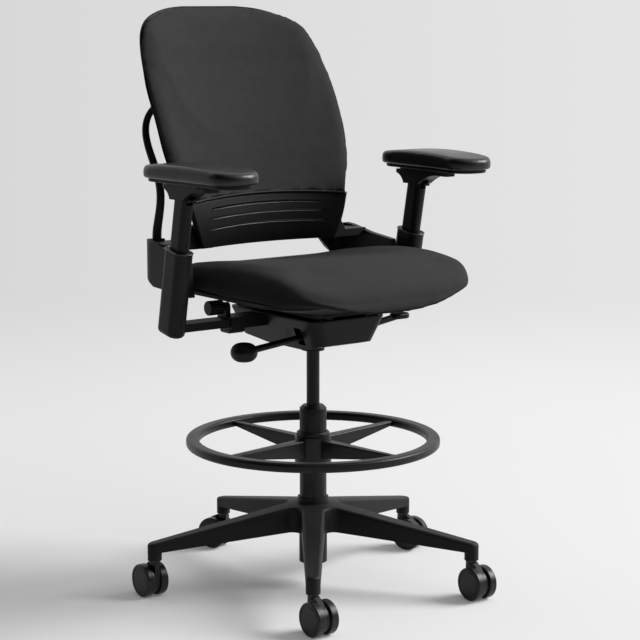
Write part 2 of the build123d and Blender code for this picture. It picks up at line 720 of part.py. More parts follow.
def lid_screw_points():
    """Places of the four lid screws."""
    inset = HOUSING_WALL + LID_BOSS_DIAMETER / 2
    x = HOUSING_TOP_HALF_WIDTH - inset - HOUSING_CORNER / 2
    for y in (HOUSING_TOP_FRONT + inset, HOUSING_TOP_REAR - inset):
        for sign in (-1, 1):
            yield Pos(sign * x, y, 0)


def receiver_box(wall, inner_end, outer_end):
    """Box of an arm bar receiver on the left, grown by a wall."""
    half_depth = ARM_BAR_DEPTH / 2 + SLIDE_GAP + wall
    half_height = ARM_BAR_HEIGHT / 2 + SLIDE_GAP + wall
    return block(inner_end, outer_end, RECEIVER_BACK - half_depth, RECEIVER_BACK + half_depth,
                 RECEIVER_HEIGHT - half_height, RECEIVER_HEIGHT + half_height)


def receiver_lock():
    """Rounded lock case under the outer end of the left receiver."""
    low = RECEIVER_HEIGHT - ARM_BAR_HEIGHT / 2 - SLIDE_GAP - RECEIVER_WALL
    half = LOCK_WIDTH / 2
    case = block(RECEIVER_REACH - LOCK_LENGTH, RECEIVER_REACH, RECEIVER_BACK - half, RECEIVER_BACK + half,
                 low - LOCK_DROP, low)
    return fillet(case.faces().sort_by(Axis.Z)[0].edges(), LOCK_ROUND)


def knob_ear():
    """Ear on the right receiver that carries the shaft of the tension knob."""
    outer = -RECEIVER_REACH
    inner = outer + KNOB_EAR_THICKNESS
    half = KNOB_EAR_WIDTH / 2
    low = RECEIVER_HEIGHT + ARM_BAR_HEIGHT / 2 + SLIDE_GAP + RECEIVER_WALL
    ear = block(outer, inner, KNOB_BACK - half, KNOB_BACK + half, low, KNOB_HEIGHT)
    ear += rod_x(half, outer, inner, KNOB_BACK, KNOB_HEIGHT)
    return ear - rod_x(KNOB_SHAFT_DIAMETER / 2 + RUNNING_FIT, outer, inner, KNOB_BACK, KNOB_HEIGHT)


def lever_ears():
    """Two ears inside the housing that carry the pin of a lever on the left."""
    half = LEVER_WIDTH / 2 + SLIDE_GAP
    outer = half + LEVER_EAR_THICKNESS
    span = LEVER_PIN_DIAMETER
    for start, end in ((-outer, -half), (half, outer)):
        yield block(LEVER_PIVOT_OFFSET - span, LEVER_PIVOT_OFFSET + span, LEVER_FORWARD + start,
                    LEVER_FORWARD + end, HOUSING_LOW, LEVER_PIVOT_HEIGHT + span)


def lever_cuts():
    """Pin bore and side window of the housing for a lever on the left."""
    pin_reach = LEVER_WIDTH / 2 + SLIDE_GAP + LEVER_EAR_THICKNESS
    yield rod_y(LEVER_PIN_DIAMETER / 2 + RUNNING_FIT, LEVER_FORWARD - pin_reach, LEVER_FORWARD + pin_reach,
                LEVER_PIVOT_OFFSET, LEVER_PIVOT_HEIGHT)
    half_width = LEVER_WIDTH / 2 + SWIVEL_GAP
    half_window = LEVER_WINDOW / 2
    yield block(LEVER_PIVOT_OFFSET + LEVER_PIN_DIAMETER, RECEIVER_REACH,
                LEVER_FORWARD - half_width, LEVER_FORWARD + half_width,
                LEVER_PIVOT_HEIGHT - half_window, LEVER_PIVOT_HEIGHT + half_window)


def both_sides(piece):
    """A piece on the left and its mirror image on the right."""
    return [piece, mirror(piece, about=Plane.YZ)]


def mech_housing():
    """Cast tray of the tilt mechanism with its column socket, receivers and ears."""
    outer = housing_body(0)
    cavity = housing_body(HOUSING_WALL)
    housing = outer - cavity
    socket = rod(SOCKET_DIAMETER / 2, SOCKET_LOW, SOCKET_TOP)
    housing += socket
    half_rib = RIB_THICKNESS / 2
    ribs = block(-HOUSING_TOP_HALF_WIDTH, HOUSING_TOP_HALF_WIDTH, -half_rib, half_rib,
                 HOUSING_LOW, LEVER_PIVOT_HEIGHT)
    ribs += block(-half_rib, half_rib, HOUSING_TOP_FRONT, PIVOT_BACK - BUSH_PACK_DIAMETER,
                  HOUSING_LOW, LEVER_PIVOT_HEIGHT)
    housing += ribs & outer
    for ear in lever_ears():
        housing += both_sides(ear & outer)
    boss = rod(LID_BOSS_DIAMETER / 2, HOUSING_LOW, HOUSING_TOP)
    housing += [place * boss & outer for place in lid_screw_points()]
    pocket_end = ARM_BAR_INNER_END - SLIDE_GAP - RECEIVER_WALL
    receiver = receiver_box(RECEIVER_WALL, HOUSING_LOW_HALF_WIDTH, RECEIVER_REACH) - cavity
    housing += both_sides(receiver - receiver_box(0, pocket_end, RECEIVER_REACH))
    housing += both_sides(receiver_lock())
    housing += knob_ear()
    housing -= socket_taper()
    for cut in lever_cuts():
        housing -= both_sides(cut)
    housing -= rod_x(SHAFT_DIAMETER / 2, -RECEIVER_REACH, RECEIVER_REACH, PIVOT_BACK, PIVOT_HEIGHT)
    half_slot = YOKE_ARM_WIDTH / 2 + SLIDE_GAP
    slot_low = PIVOT_HEIGHT - YOKE_ARM_THICKNESS
    housing -= block(-half_slot, half_slot, PIVOT_BACK, 2 * HOUSING_TOP_REAR, slot_low, LID_TOP)
    hole = rod(LID_SCREW_DIAMETER / 2, LID_TOP - LID_SCREW_LENGTH, LID_TOP)
    return housing - [place * hole for place in lid_screw_points()]


def rail_pair(spacing, front, rear, low, high, width):
    """Two bars along Y, set symmetrically."""
    half = width / 2
    return both_sides(block(spacing / 2 - half, spacing / 2 + half, front, rear, low, high))


def rail_guides(spacing, front, rear, low, high):
    """Walls on both sides of a pair of rails, with running room."""
    inner = RAIL_WIDTH + 2 * SLIDE_GAP
    outer = rail_pair(spacing, front, rear, low, high, inner + 2 * RAIL_GUIDE_WALL)
    channel = rail_pair(spacing, front, rear, low, high, inner)
    return [wall - gap for wall, gap in zip(outer, channel)]


def mech_lid():
    """Pressed lid of the housing with two slide rails."""
    plan = rounded_plan(HOUSING_TOP_HALF_WIDTH, HOUSING_TOP_FRONT, HOUSING_TOP_REAR,
                        HOUSING_CORNER, HOUSING_TOP)
    lid = extrude(plan, LID_THICKNESS)
    half_slot = YOKE_ARM_WIDTH / 2 + SLIDE_GAP
    lid -= block(-half_slot, half_slot, PIVOT_BACK, 2 * HOUSING_TOP_REAR, HOUSING_TOP, LID_TOP)
    lid += rail_pair(LID_RAIL_SPACING, CARRIAGE_FRONT, CARRIAGE_REAR, LID_TOP, LID_TOP + RAIL_HEIGHT,
                     RAIL_WIDTH)
    hole = rod(LID_SCREW_DIAMETER / 2, HOUSING_TOP, LID_TOP)
    return lid - [place * hole for place in lid_screw_points()]


def lid_screws():
    """Four screws that hold the lid on the housing."""
    screw = rod(LID_SCREW_DIAMETER / 2, LID_TOP - LID_SCREW_LENGTH, LID_TOP)
    screw += rod(LID_SCREW_HEAD_DIAMETER / 2, LID_TOP, LID_TOP + LID_SCREW_HEAD_HEIGHT)
    return Compound(children=[place * screw for place in lid_screw_points()])


def tilt_shaft():
    """Shaft across the housing that the back yoke tilts on."""
    share = PIVOT_RISE / HOUSING_DEPTH
    reach = HOUSING_LOW_HALF_WIDTH + (HOUSING_TOP_HALF_WIDTH - HOUSING_LOW_HALF_WIDTH) * share
    return rod_x(SHAFT_DIAMETER / 2, -reach, reach, PIVOT_BACK, PIVOT_HEIGHT)


def torsion_bushes():
    """Rubber torsion sleeves on the shaft, one on each side of the yoke boss."""
    start = YOKE_ARM_WIDTH / 2 + SWIVEL_GAP
    sleeve = rod_x(BUSH_PACK_DIAMETER / 2, start, start + BUSH_PACK_WIDTH, PIVOT_BACK, PIVOT_HEIGHT)
    sleeve -= rod_x(SHAFT_DIAMETER / 2, start, start + BUSH_PACK_WIDTH, PIVOT_BACK, PIVOT_HEIGHT)
    return Compound(children=both_sides(sleeve))


def lever_stem(reach, rise):
    """Pivot pin, hub and arm of a lever on the left."""
    half = LEVER_WIDTH / 2
    pin_reach = half + SLIDE_GAP + LEVER_EAR_THICKNESS
    start = Vector(LEVER_PIVOT_OFFSET, LEVER_FORWARD, LEVER_PIVOT_HEIGHT)
    end = Vector(reach, LEVER_FORWARD, HOUSING_LOW + rise)
    stem = rod_y(LEVER_PIN_DIAMETER / 2, start.Y - pin_reach, start.Y + pin_reach, start.X, start.Z)
    stem += rod_y(LEVER_PIN_DIAMETER, start.Y - half, start.Y + half, start.X, start.Z)
    arm = Plane(start, z_dir=end - start) * Circle(LEVER_ARM_DIAMETER / 2)
    return stem + extrude(arm, (end - start).length)


def height_lever():
    """Lever on the right: ball grip, arm, pivot pin and the finger over the valve pin."""
    lever = lever_stem(BALL_REACH, BALL_RISE)
    half_high = BALL_HEIGHT / 2
    flat = BALL_DIAMETER / 2 - half_high
    outline = Polyline((flat, half_high), (0, half_high), (0, -half_high), (flat, -half_high))
    outline += ThreePointArc((flat, -half_high), (BALL_DIAMETER / 2, 0), (flat, half_high))
    ball = revolve(Plane.XZ * make_face(outline), Axis.Z)
    lever += Pos(BALL_REACH, LEVER_FORWARD, HOUSING_LOW + BALL_RISE) * ball
    finger_low = CYLINDER_TOP + PIN_REACH + SLIDE_GAP
    half = LEVER_WIDTH / 2
    pin = LEVER_PIN_DIAMETER
    lever += block(LEVER_PIVOT_OFFSET - pin / 2, LEVER_PIVOT_OFFSET + pin, LEVER_FORWARD - half,
                   LEVER_FORWARD + half, LEVER_PIVOT_HEIGHT, finger_low + LEVER_FINGER_THICKNESS)
    root = Pos(LEVER_PIVOT_OFFSET, LEVER_FORWARD) * Rectangle(pin, LEVER_WIDTH)
    finger = make_hull((Circle(LEVER_FINGER_WIDTH / 2) + root).edges())
    lever += Pos(0, 0, finger_low) * extrude(finger, LEVER_FINGER_THICKNESS)
    return mirror(lever, about=Plane.YZ)


def depth_lever():
    """Lever on the left with a flat paddle, for the depth of the seat."""
    lever = lever_stem(PADDLE_REACH, PADDLE_RISE)
    paddle = extrude(SlotOverall(PADDLE_LENGTH, PADDLE_WIDTH), PADDLE_THICKNESS / 2, both=True)
    paddle = fillet(paddle.faces().sort_by(Axis.Z)[0].edges(), PADDLE_THICKNESS / 3)
    paddle = fillet(paddle.faces().sort_by(Axis.Z)[-1].edges(), PADDLE_THICKNESS / 3)
    return lever + Pos(PADDLE_REACH, LEVER_FORWARD, HOUSING_LOW + PADDLE_RISE) * paddle


def tension_knob():
    """Fluted knob on its shaft at the right of the mechanism."""
    radius = KNOB_DIAMETER / 2
    flutes = PolarLocations(radius, KNOB_RIB_COUNT) * Circle(KNOB_RIB_DIAMETER / 2)
    grip = rod(radius, 0, KNOB_LENGTH)
    grip = fillet(grip.edges(), KNOB_RIB_DIAMETER / 2)
    grip -= extrude(Sketch() + flutes, KNOB_LENGTH)
    grip += rod(KNOB_SHAFT_DIAMETER / 2, -KNOB_STANDOFF - KNOB_EAR_THICKNESS, KNOB_LENGTH)
    seat = Vector(-RECEIVER_REACH - KNOB_STANDOFF, KNOB_BACK, KNOB_HEIGHT)
    return Plane(seat, z_dir=(-1, 0, 0)) * grip


def seat_carriage():
    """Plate that glides on the lid rails and carries the rails of the seat."""
    plate = block(-CARRIAGE_HALF_WIDTH, CARRIAGE_HALF_WIDTH, CARRIAGE_FRONT, CARRIAGE_REAR,
                  CARRIAGE_LOW, CARRIAGE_TOP)
    plate += rail_guides(LID_RAIL_SPACING, CARRIAGE_FRONT, CARRIAGE_REAR, LID_TOP + SLIDE_GAP, CARRIAGE_LOW)
    return plate + rail_pair(CARRIAGE_RAIL_SPACING, CARRIAGE_FRONT, CARRIAGE_REAR, CARRIAGE_TOP,
                             CARRIAGE_TOP + RAIL_HEIGHT, RAIL_WIDTH)


def pan_body(inset):
    """Dished body of the seat pan, drawn in by a wall."""
    rim_low = RIM - PAN_RIM_HEIGHT
    dish = loft([
        rounded_plan(PAN_FLOOR_HALF_WIDTH - inset, PAN_FLOOR_FRONT + inset, PAN_FLOOR_REAR - inset,
                     PAN_FLOOR_CORNER - inset, PAN_LOW + inset),
        rounded_plan(PAN_HALF_WIDTH - inset, PAN_FRONT + inset, PAN_REAR - inset,
                     PAN_CORNER - inset, rim_low),
    ])
    rim = rounded_plan(PAN_HALF_WIDTH - inset, PAN_FRONT + inset, PAN_REAR - inset,
                       PAN_CORNER - inset, rim_low)
    return dish + extrude(rim, PAN_RIM_HEIGHT)


def seat_pan():
    """Moulded pan under the cushion, with slide guides."""
    pan = pan_body(0) - pan_body(PAN_WALL)
    pan += rail_guides(CARRIAGE_RAIL_SPACING, CARRIAGE_FRONT, PAN_FLOOR_REAR - PAN_FLOOR_CORNER,
                       CARRIAGE_TOP + SLIDE_GAP, PAN_LOW + PAN_WALL)
    return pan - seat_cushion()


def seat_section(y, half_width, edge_top, centre_top, edge_low, centre_low):
    """Closed section of the seat cushion across X."""
    plane = Plane(origin=(0, y, RIM), x_dir=(1, 0, 0), z_dir=(0, -1, 0))
    base = half_width - CUSHION_DRAW_IN
    middle = (edge_top + edge_low) / 2
    bulge = half_width + CUSHION_SIDE_BULGE
    outline = Curve() + [
        ThreePointArc((-half_width, edge_top), (0, centre_top), (half_width, edge_top)),
        ThreePointArc((half_width, edge_top), (bulge, middle), (base, edge_low)),
        ThreePointArc((base, edge_low), (0, centre_low), (-base, edge_low)),
        ThreePointArc((-base, edge_low), (-bulge, middle), (-half_width, edge_top)),
    ]
    return make_face(plane * outline)


@cache
def seat_cushion():
    """Seat cushion: dished at the rear, crowned towards a waterfall front."""
    return loft([seat_section(*station) for station in SEAT_STATIONS])


def yoke_plan(inset):
    """U-shaped plan of the yoke, drawn in by a wall."""
    half = WING_INNER_X + WING_THICKNESS - inset
    front = WING_FRONT - YOKE_REAR
    rear = YOKE_REAR - inset
    return rounded_plan(half, front, rear, YOKE_CORNER - inset, 0)


def yoke_horn():
    """Horn that sweeps from the left lug up behind the edge of the shell."""
    top = BACK_FOOT + HORN_RISE
    foot = Vector(HORN_FOOT_X, BACK_FOOT + HORN_FOOT_RISE)
    waist = Vector(HORN_WAIST_X, BACK_FOOT + HORN_WAIST_RISE)
    tip = Vector(HORN_TIP_X, top)
    sweep = ThreePointArc(foot, waist, tip)
    sweep += Polyline(tip, (HORN_INNER_X, top), (HORN_INNER_X, BACK_FOOT), (HORN_FOOT_X, BACK_FOOT), foot)
    rear = YOKE_LUG_FRONT + YOKE_LUG_DEPTH
    profile = (
        (YOKE_LUG_FRONT, BACK_FOOT),
        (rear, BACK_FOOT),
        (rear, BACK_FOOT + YOKE_LUG_RISE),
        (YOKE_LUG_FRONT + HORN_TIP_DEPTH, top),
        (YOKE_LUG_FRONT, top),
    )
    front_view = extrude(Plane.XZ * make_face(sweep), rear, dir=(0, 1, 0))
    return front_view & side_plate(profile, HORN_INNER_X, HORN_FOOT_X)


def web_cut(outer, low):
    """Cutter that slopes the web in the left rear corner of the yoke, above the band."""
    inner = outer - YOKE_WEB_REACH
    slope = Polygon((outer, low), (inner, BACK_FOOT), (inner, low), align=None)
    return extrude(Plane.XZ * slope, 2 * YOKE_REAR, dir=(0, 1, 0))


def back_yoke():
    """U-shaped yoke: side wings, rear band, the arm to the tilt shaft and the shell lugs."""
    plan = yoke_plan(0) - yoke_plan(WING_THICKNESS)
    wall = extrude(plan, SEAT_HEIGHT + BACK_FOOT_RISE)
    reach = WING_INNER_X + WING_THICKNESS
    straight = reach - YOKE_CORNER
    outline = [(y, RIM + rise) for y, rise in WING_OUTLINE]
    wing_side = side_plate(outline, straight - YOKE_WEB_REACH, reach)
    band_top = RIM + YOKE_BAND_HIGH
    band = block(-straight, straight, YOKE_REAR - YOKE_CORNER, YOKE_REAR, RIM + YOKE_BAND_LOW, band_top)
    side = (wall & wing_side) - web_cut(straight, band_top)
    side += block(reach - YOKE_LUG_REACH, WING_INNER_X + WING_THICKNESS / 2, YOKE_LUG_FRONT,
                  YOKE_LUG_FRONT + YOKE_LUG_DEPTH, BACK_FOOT, BACK_FOOT + YOKE_LUG_RISE)
    side += yoke_horn()
    side += upright_socket()
    side -= upright()
    half_arm = YOKE_ARM_WIDTH / 2
    half_thick = YOKE_ARM_THICKNESS / 2
    quarter = half_thick / 2
    arm_rear = YOKE_REAR - WING_THICKNESS / 2
    elbow = PIVOT_HEIGHT + YOKE_ELBOW_RISE
    arm = (
        (PIVOT_BACK, PIVOT_HEIGHT - half_thick),
        (YOKE_ELBOW_BACK + quarter, elbow - half_thick),
        (arm_rear, RIM + YOKE_BAND_LOW),
        (arm_rear, band_top),
        (arm_rear - half_thick, band_top),
        (YOKE_ELBOW_BACK - quarter, elbow + half_thick),
        (PIVOT_BACK, PIVOT_HEIGHT + half_thick),
    )
    yoke = (wall & band) + both_sides(side)
    yoke += side_plate(arm, -half_arm, half_arm)
    yoke += rod_x(YOKE_BOSS_DIAMETER / 2, -half_arm, half_arm, PIVOT_BACK, PIVOT_HEIGHT)
    yoke -= rod_x(SHAFT_DIAMETER / 2 + RUNNING_FIT, -half_arm, half_arm, PIVOT_BACK, PIVOT_HEIGHT)
    return yoke - back_shell()


def upright_points():
    """Centre line of the left upright, from the yoke to the shell."""
    return [Vector(x, y, RIM + rise) for x, y, rise in UPRIGHT_ROUTE]


def upright_socket():
    """Socket on the left wing that holds the foot of the upright."""
    points = upright_points()
    foot = Plane(points[0], z_dir=points[1] - points[0])
    socket = foot * Circle(UPRIGHT_FOOT_DIAMETER / 2 + UPRIGHT_SOCKET_WALL)
    return extrude(socket, UPRIGHT_SOCKET_DEPTH / 2, both=True)


@cache
def upright():
    """Bent upright on the left, tapering to an eye behind the shell."""
    points = upright_points()
    last = len(points) - 1
    sections = []
    for k, point in enumerate(points):
        direction = points[min(k + 1, last)] - points[max(k - 1, 0)]
        diameter = UPRIGHT_FOOT_DIAMETER + (UPRIGHT_HEAD_DIAMETER - UPRIGHT_FOOT_DIAMETER) * k / last
        sections.append(Plane(point, x_dir=(1, 0, 0), z_dir=direction) * Circle(diameter / 2))
    head = points[-1]
    half_eye = UPRIGHT_EYE_WIDTH / 2
    eye = rod_x(UPRIGHT_EYE_DIAMETER / 2, head.X - half_eye, head.X + half_eye, head.Y, head.Z)
    hole = rod_x(SHELL_PIN_DIAMETER / 2, head.X - half_eye, head.X + half_eye, head.Y, head.Z)
    return loft(sections) + eye - hole


def shell_pin():
    """Pin through the left upright's eye and the shell's ear."""
    head = upright_points()[-1]
    outer = UPRIGHT_EYE_WIDTH / 2
    inner = outer + SLIDE_GAP + SHELL_EAR_THICKNESS
    return rod_x(SHELL_PIN_DIAMETER / 2, head.X - inner, head.X + outer, head.Y, head.Z)


def shell_pins():
    """Both pins that hold the shell to the uprights."""
    return Compound(children=both_sides(shell_pin()))


def back_at(height):
    """Half width and front face of the back at a height over its foot."""
    for low, high in zip(BACK_STATIONS, BACK_STATIONS[1:]):
        if low[0] <= height <= high[0]:
            share = (height - low[0]) / (high[0] - low[0])
            return [a + (b - a) * share for a, b in zip(low[1:], high[1:])]


def back_section(height, offset, thickness, edge):
    """Closed crescent across X: a hollow front face, a rounder rear face and thin edges."""
    half_width, front = back_at(height)
    over = max(0.0, height - BACK_STATIONS[-1][0] + BACK_TOP_ROUND) / BACK_TOP_ROUND
    thin = 1 - BACK_TOP_THINNING * over ** 2
    front += offset + thickness * (1 - thin) / 2
    rear = thickness * thin
    edge *= thin
    sag = BACK_SAG * (half_width / BACK_SAG_WIDTH) ** 2
    plane = Plane(origin=(0, front, BACK_FOOT + height))
    tip = half_width + edge / 2
    outline = Curve() + [
        ThreePointArc((-half_width, -sag), (0, 0), (half_width, -sag)),
        ThreePointArc((half_width, -sag), (tip, edge / 2 - sag), (half_width, edge - sag)),
        ThreePointArc((half_width, edge - sag), (0, rear), (-half_width, edge - sag)),
        ThreePointArc((-half_width, edge - sag), (-tip, edge / 2 - sag), (-half_width, -sag)),
    ]
    return make_face(plane * outline)


def back_layer(offset, thickness, edge, low, high):
    """Curved layer of the back between two heights, set behind the front face."""
    heights = [low] + [s[0] for s in BACK_STATIONS if low < s[0] < high] + [high]
    return loft([back_section(height, offset, thickness, edge) for height in heights])


def under_arch(rise, drop):
    """Cutter for everything below a shallow arch across the back."""
    half_length = 2 * BACK_SAG_WIDTH
    end = BACK_FOOT + rise - drop * (half_length / BACK_DROP_AT) ** 2
    floor = BACK_FOOT - BACK_FOOT_RISE
    outline = ThreePointArc((-half_length, end), (0, BACK_FOOT + rise), (half_length, end))
    outline += Polyline((half_length, end), (half_length, floor), (-half_length, floor), (-half_length, end))
    return extrude(Plane.XZ * make_face(outline), 2 * YOKE_REAR, dir=(0, 1, 0))


def shell_slot(rise, half_length):
    """Cutter for a slot that slopes up to the rear, so that nothing shows through it."""
    slope = tan(radians(SLOT_TILT))
    start = BACK_FOOT + rise - back_at(rise)[1] * slope
    slot = Plane.XZ * Pos(0, start) * SlotOverall(2 * half_length, SLOT_HEIGHT)
    return extrude(slot, 2 * YOKE_REAR, dir=(0, 1, slope))


def back_cushion():
    """Upholstered back cushion from its arched seam to the top."""
    low = BACK_SEAM_RISE - BACK_SEAM_MARGIN
    cushion = back_layer(0, BACK_CUSHION_THICKNESS, BACK_CUSHION_EDGE, low, BACK_STATIONS[-1][0])
    return cushion - under_arch(BACK_SEAM_RISE, BACK_SEAM_DROP)


def shell_ears():
    """Ears on the rear of the shell, beside the eyes of the uprights."""
    head = upright_points()[-1]
    high = head.X - UPRIGHT_EYE_WIDTH / 2 - SLIDE_GAP
    low = high - SHELL_EAR_THICKNESS
    radius = UPRIGHT_EYE_DIAMETER / 2
    front = back_at(head.Z - BACK_FOOT)[1] - BACK_SAG + BACK_CUSHION_THICKNESS
    ear = block(low, high, front, head.Y, head.Z - radius, head.Z + radius)
    ear += rod_x(radius, low, high, head.Y, head.Z)
    cleared = back_layer(-BACK_SAG, BACK_SAG + BACK_CUSHION_THICKNESS + BACK_LAYER_GAP,
                         BACK_SAG + BACK_CUSHION_THICKNESS, BACK_SEAM_RISE, BACK_STATIONS[-1][0])
    return both_sides(ear - cleared - shell_pin())


@cache
def back_shell():
    """Curved shell: a wall behind the cushion, a ledge under its seam and a slotted lower wall."""
    top = BACK_STATIONS[-1][0]
    behind = BACK_CUSHION_THICKNESS + BACK_LAYER_GAP
    ledge_low = BACK_SEAM_RISE - BACK_SEAM_GAP - BACK_LEDGE
    margin_low = BACK_SEAM_RISE - BACK_SEAM_MARGIN
    upper = back_layer(behind, BACK_SHELL_THICKNESS, BACK_SHELL_EDGE, margin_low, top)
    foot = BACK_STATIONS[0][0]
    lower = back_layer(BACK_SEAM_GAP, BACK_SHELL_THICKNESS, BACK_CUSHION_EDGE, foot, BACK_SEAM_RISE)
    lower -= under_arch(BACK_FOOT_ARCH, BACK_FOOT_DROP)
    ledge_depth = behind + BACK_SHELL_THICKNESS - BACK_SEAM_GAP
    ledge = back_layer(BACK_SEAM_GAP, ledge_depth, BACK_CUSHION_EDGE, margin_low, BACK_SEAM_RISE)
    above_ledge = under_arch(BACK_SEAM_RISE - BACK_SEAM_GAP, BACK_SEAM_DROP)
    below_ledge = under_arch(ledge_low, BACK_SEAM_DROP)
    shell = (upper - below_ledge) + (lower & above_ledge) + ((ledge & above_ledge) - below_ledge)
    for rise, half_length in SHELL_SLOTS:
        shell -= shell_slot(rise, half_length)
    return shell + shell_ears()


def arm_plane(along):
    """Plane square to the leaning arm axis, a distance up from the sleeve's foot."""
    lean = radians(ARM_LEAN)
    direction = Vector(0, -sin(lean), cos(lean))
    origin = Vector(ARM_X, SLEEVE_BACK, SLEEVE_LOW) + direction * along
    return Plane(origin, x_dir=(0, 1, 0), z_dir=direction)


def arm_support():
    """Sleeve of the left arm with the bar that slides in the housing receiver."""
    sleeve = extrude(arm_plane(0) * SlotOverall(SLEEVE_DEPTH, SLEEVE_WIDTH), SLEEVE_LENGTH)
    sleeve = fillet(sleeve.faces().sort_by(Axis.Z)[0].edges(), SLEEVE_BOTTOM_ROUND)
    half_depth = ARM_BAR_DEPTH / 2
    half_height = ARM_BAR_HEIGHT / 2
    bar = block(ARM_BAR_INNER_END, ARM_X, RECEIVER_BACK - half_depth, RECEIVER_BACK + half_depth,
                RECEIVER_HEIGHT - half_height, RECEIVER_HEIGHT + half_height)
    bore = arm_plane(SLEEVE_FLOOR) * SlotOverall(STALK_DEPTH + 2 * SLIDE_GAP, STALK_WIDTH + 2 * SLIDE_GAP)
    return sleeve + bar - extrude(bore, SLEEVE_LENGTH)


def stalk_axis(height):
    """Y of the leaning arm axis at a height."""
    return SLEEVE_BACK - (height - SLEEVE_LOW) * tan(radians(ARM_LEAN))


def trigger_pivot():
    """Y and height of the trigger's pin."""
    height = HEAD_TOP - TRIGGER_DROP
    return stalk_axis(height) - STALK_DEPTH / 2 + TRIGGER_SETBACK, height


def arm_stalk():
    """Stalk of the left arm with the flared head that the pad slides on."""
    along = (HEAD_TOP - SLEEVE_LOW) / cos(radians(ARM_LEAN))
    stalk = extrude(arm_plane(along) * SlotOverall(STALK_DEPTH, STALK_WIDTH), -STALK_LENGTH)
    stalk -= block(0, 2 * ARM_X, -SLEEVE_LENGTH, SLEEVE_LENGTH, HEAD_TOP, 2 * HEAD_TOP)
    flare_low = HEAD_TOP - HEAD_DEPTH - HEAD_FLARE
    middle = stalk_axis(flare_low)
    tip_low = HEAD_TOP - HEAD_DEPTH
    front = Vector(middle - STALK_DEPTH / 2, flare_low)
    rear = Vector(middle + STALK_DEPTH / 2, flare_low)
    front_tip = Vector(HEAD_FRONT, tip_low)
    rear_tip = Vector(HEAD_REAR, tip_low)
    outline = Curve() + [
        Line(rear, front),
        ThreePointArc(front, flare_middle(front, front_tip), front_tip),
        Line(front_tip, (HEAD_FRONT, HEAD_TOP)),
        Line((HEAD_FRONT, HEAD_TOP), (HEAD_REAR, HEAD_TOP)),
        Line((HEAD_REAR, HEAD_TOP), rear_tip),
        ThreePointArc(rear_tip, flare_middle(rear, rear_tip), rear),
    ]
    head = extrude(Plane.YZ * make_face(outline), HEAD_WIDTH / 2, both=True)
    upright_edges = head.edges().filter_by(Axis.Z)
    head = fillet(upright_edges, HEAD_WIDTH / 3)
    stalk += Pos(ARM_X, 0, 0) * head
    half_groove = HEAD_GROOVE_WIDTH / 2
    stalk -= block(ARM_X - half_groove, ARM_X + half_groove, HEAD_FRONT + HEAD_DEPTH,
                   HEAD_REAR - HEAD_DEPTH, HEAD_TOP - HEAD_GROOVE_DEPTH, HEAD_TOP)
    pin_y, pin_z = trigger_pivot()
    half = TRIGGER_WIDTH / 2 + SLIDE_GAP
    room = TRIGGER_THICKNESS / 2 + TRIGGER_ROOM
    stalk -= block(ARM_X - half, ARM_X + half, HEAD_FRONT, pin_y + TRIGGER_THICKNESS,
                   pin_z - room, pin_z + room)
    reach = TRIGGER_WIDTH / 2 + TRIGGER_PIN_SEAT
    return stalk - rod_x(TRIGGER_PIN_DIAMETER / 2 + RUNNING_FIT, ARM_X - reach, ARM_X + reach, pin_y, pin_z)


def flare_middle(root, tip):
    """Point that bends a flare from the stalk's side towards the tip."""
    return Vector(root.X + (tip.X - root.X) * HEAD_BEND, tip.Y - (tip.Y - root.Y) * HEAD_BEND)


def arm_trigger():
    """Height trigger of the left arm on its pin under the head."""
    pin_y, pin_z = trigger_pivot()
    half = TRIGGER_WIDTH / 2
    half_thick = TRIGGER_THICKNESS / 2
    blade = block(ARM_X - half, ARM_X + half, pin_y - TRIGGER_LENGTH, pin_y,
                  pin_z - half_thick, pin_z + half_thick)
    blade = fillet(blade.edges().group_by(Axis.Y)[0], half_thick - SLIDE_GAP)
    reach = half + TRIGGER_PIN_SEAT - SLIDE_GAP
    blade += rod_x(half_thick + RUNNING_FIT, ARM_X - half, ARM_X + half, pin_y, pin_z)
    return blade + rod_x(TRIGGER_PIN_DIAMETER / 2, ARM_X - reach, ARM_X + reach, pin_y, pin_z)


def arm_slider():
    """Plate of the left arm that slides along the head and carries the pad pivot."""
    plan = RectangleRounded(SLIDER_WIDTH, SLIDER_LENGTH, SLIDER_CORNER)
    slider = Pos(ARM_X, PAD_PIVOT_Y, SLIDER_LOW) * extrude(plan, SLIDER_THICKNESS)
    half_rib = HEAD_GROOVE_WIDTH / 2 - SLIDE_GAP
    rib_low = HEAD_TOP - HEAD_GROOVE_DEPTH + SLIDE_GAP
    slider += block(ARM_X - half_rib, ARM_X + half_rib, PAD_PIVOT_Y - SLIDER_RIB_LENGTH / 2,
                    PAD_PIVOT_Y + SLIDER_RIB_LENGTH / 2, rib_low, SLIDER_LOW)
    bore = rod(PAD_PIVOT_DIAMETER / 2 + RUNNING_FIT, SLIDER_LOW, SLIDER_TOP)
    return slider - Pos(ARM_X, PAD_PIVOT_Y, 0) * bore


def pad_outline(inset):
    """Plan of an arm pad about its own centre, drawn in evenly."""
    return RectangleRounded(PAD_WIDTH - 2 * inset, PAD_LENGTH - 2 * inset, PAD_CORNER - inset)


def pad_place(height):
    """Place of the left pad, with its front turned in."""
    return Pos(PAD_X, PAD_FORWARD, height) * Rot(0, 0, -PAD_TOE_IN)


def arm_pad_base():
    """Stiff carrier under the left pad, with the pivot that turns in the slider."""
    base = extrude(pad_outline(CARRIER_INSET), CARRIER_THICKNESS)
    low_edges = base.faces().sort_by(Axis.Z)[0].edges()
    base = pad_place(CARRIER_LOW) * fillet(low_edges, CARRIER_THICKNESS / 3)
    pivot = rod(PAD_PIVOT_DIAMETER / 2, SLIDER_LOW, CARRIER_LOW)
    return base + Pos(ARM_X, PAD_PIVOT_Y, 0) * pivot


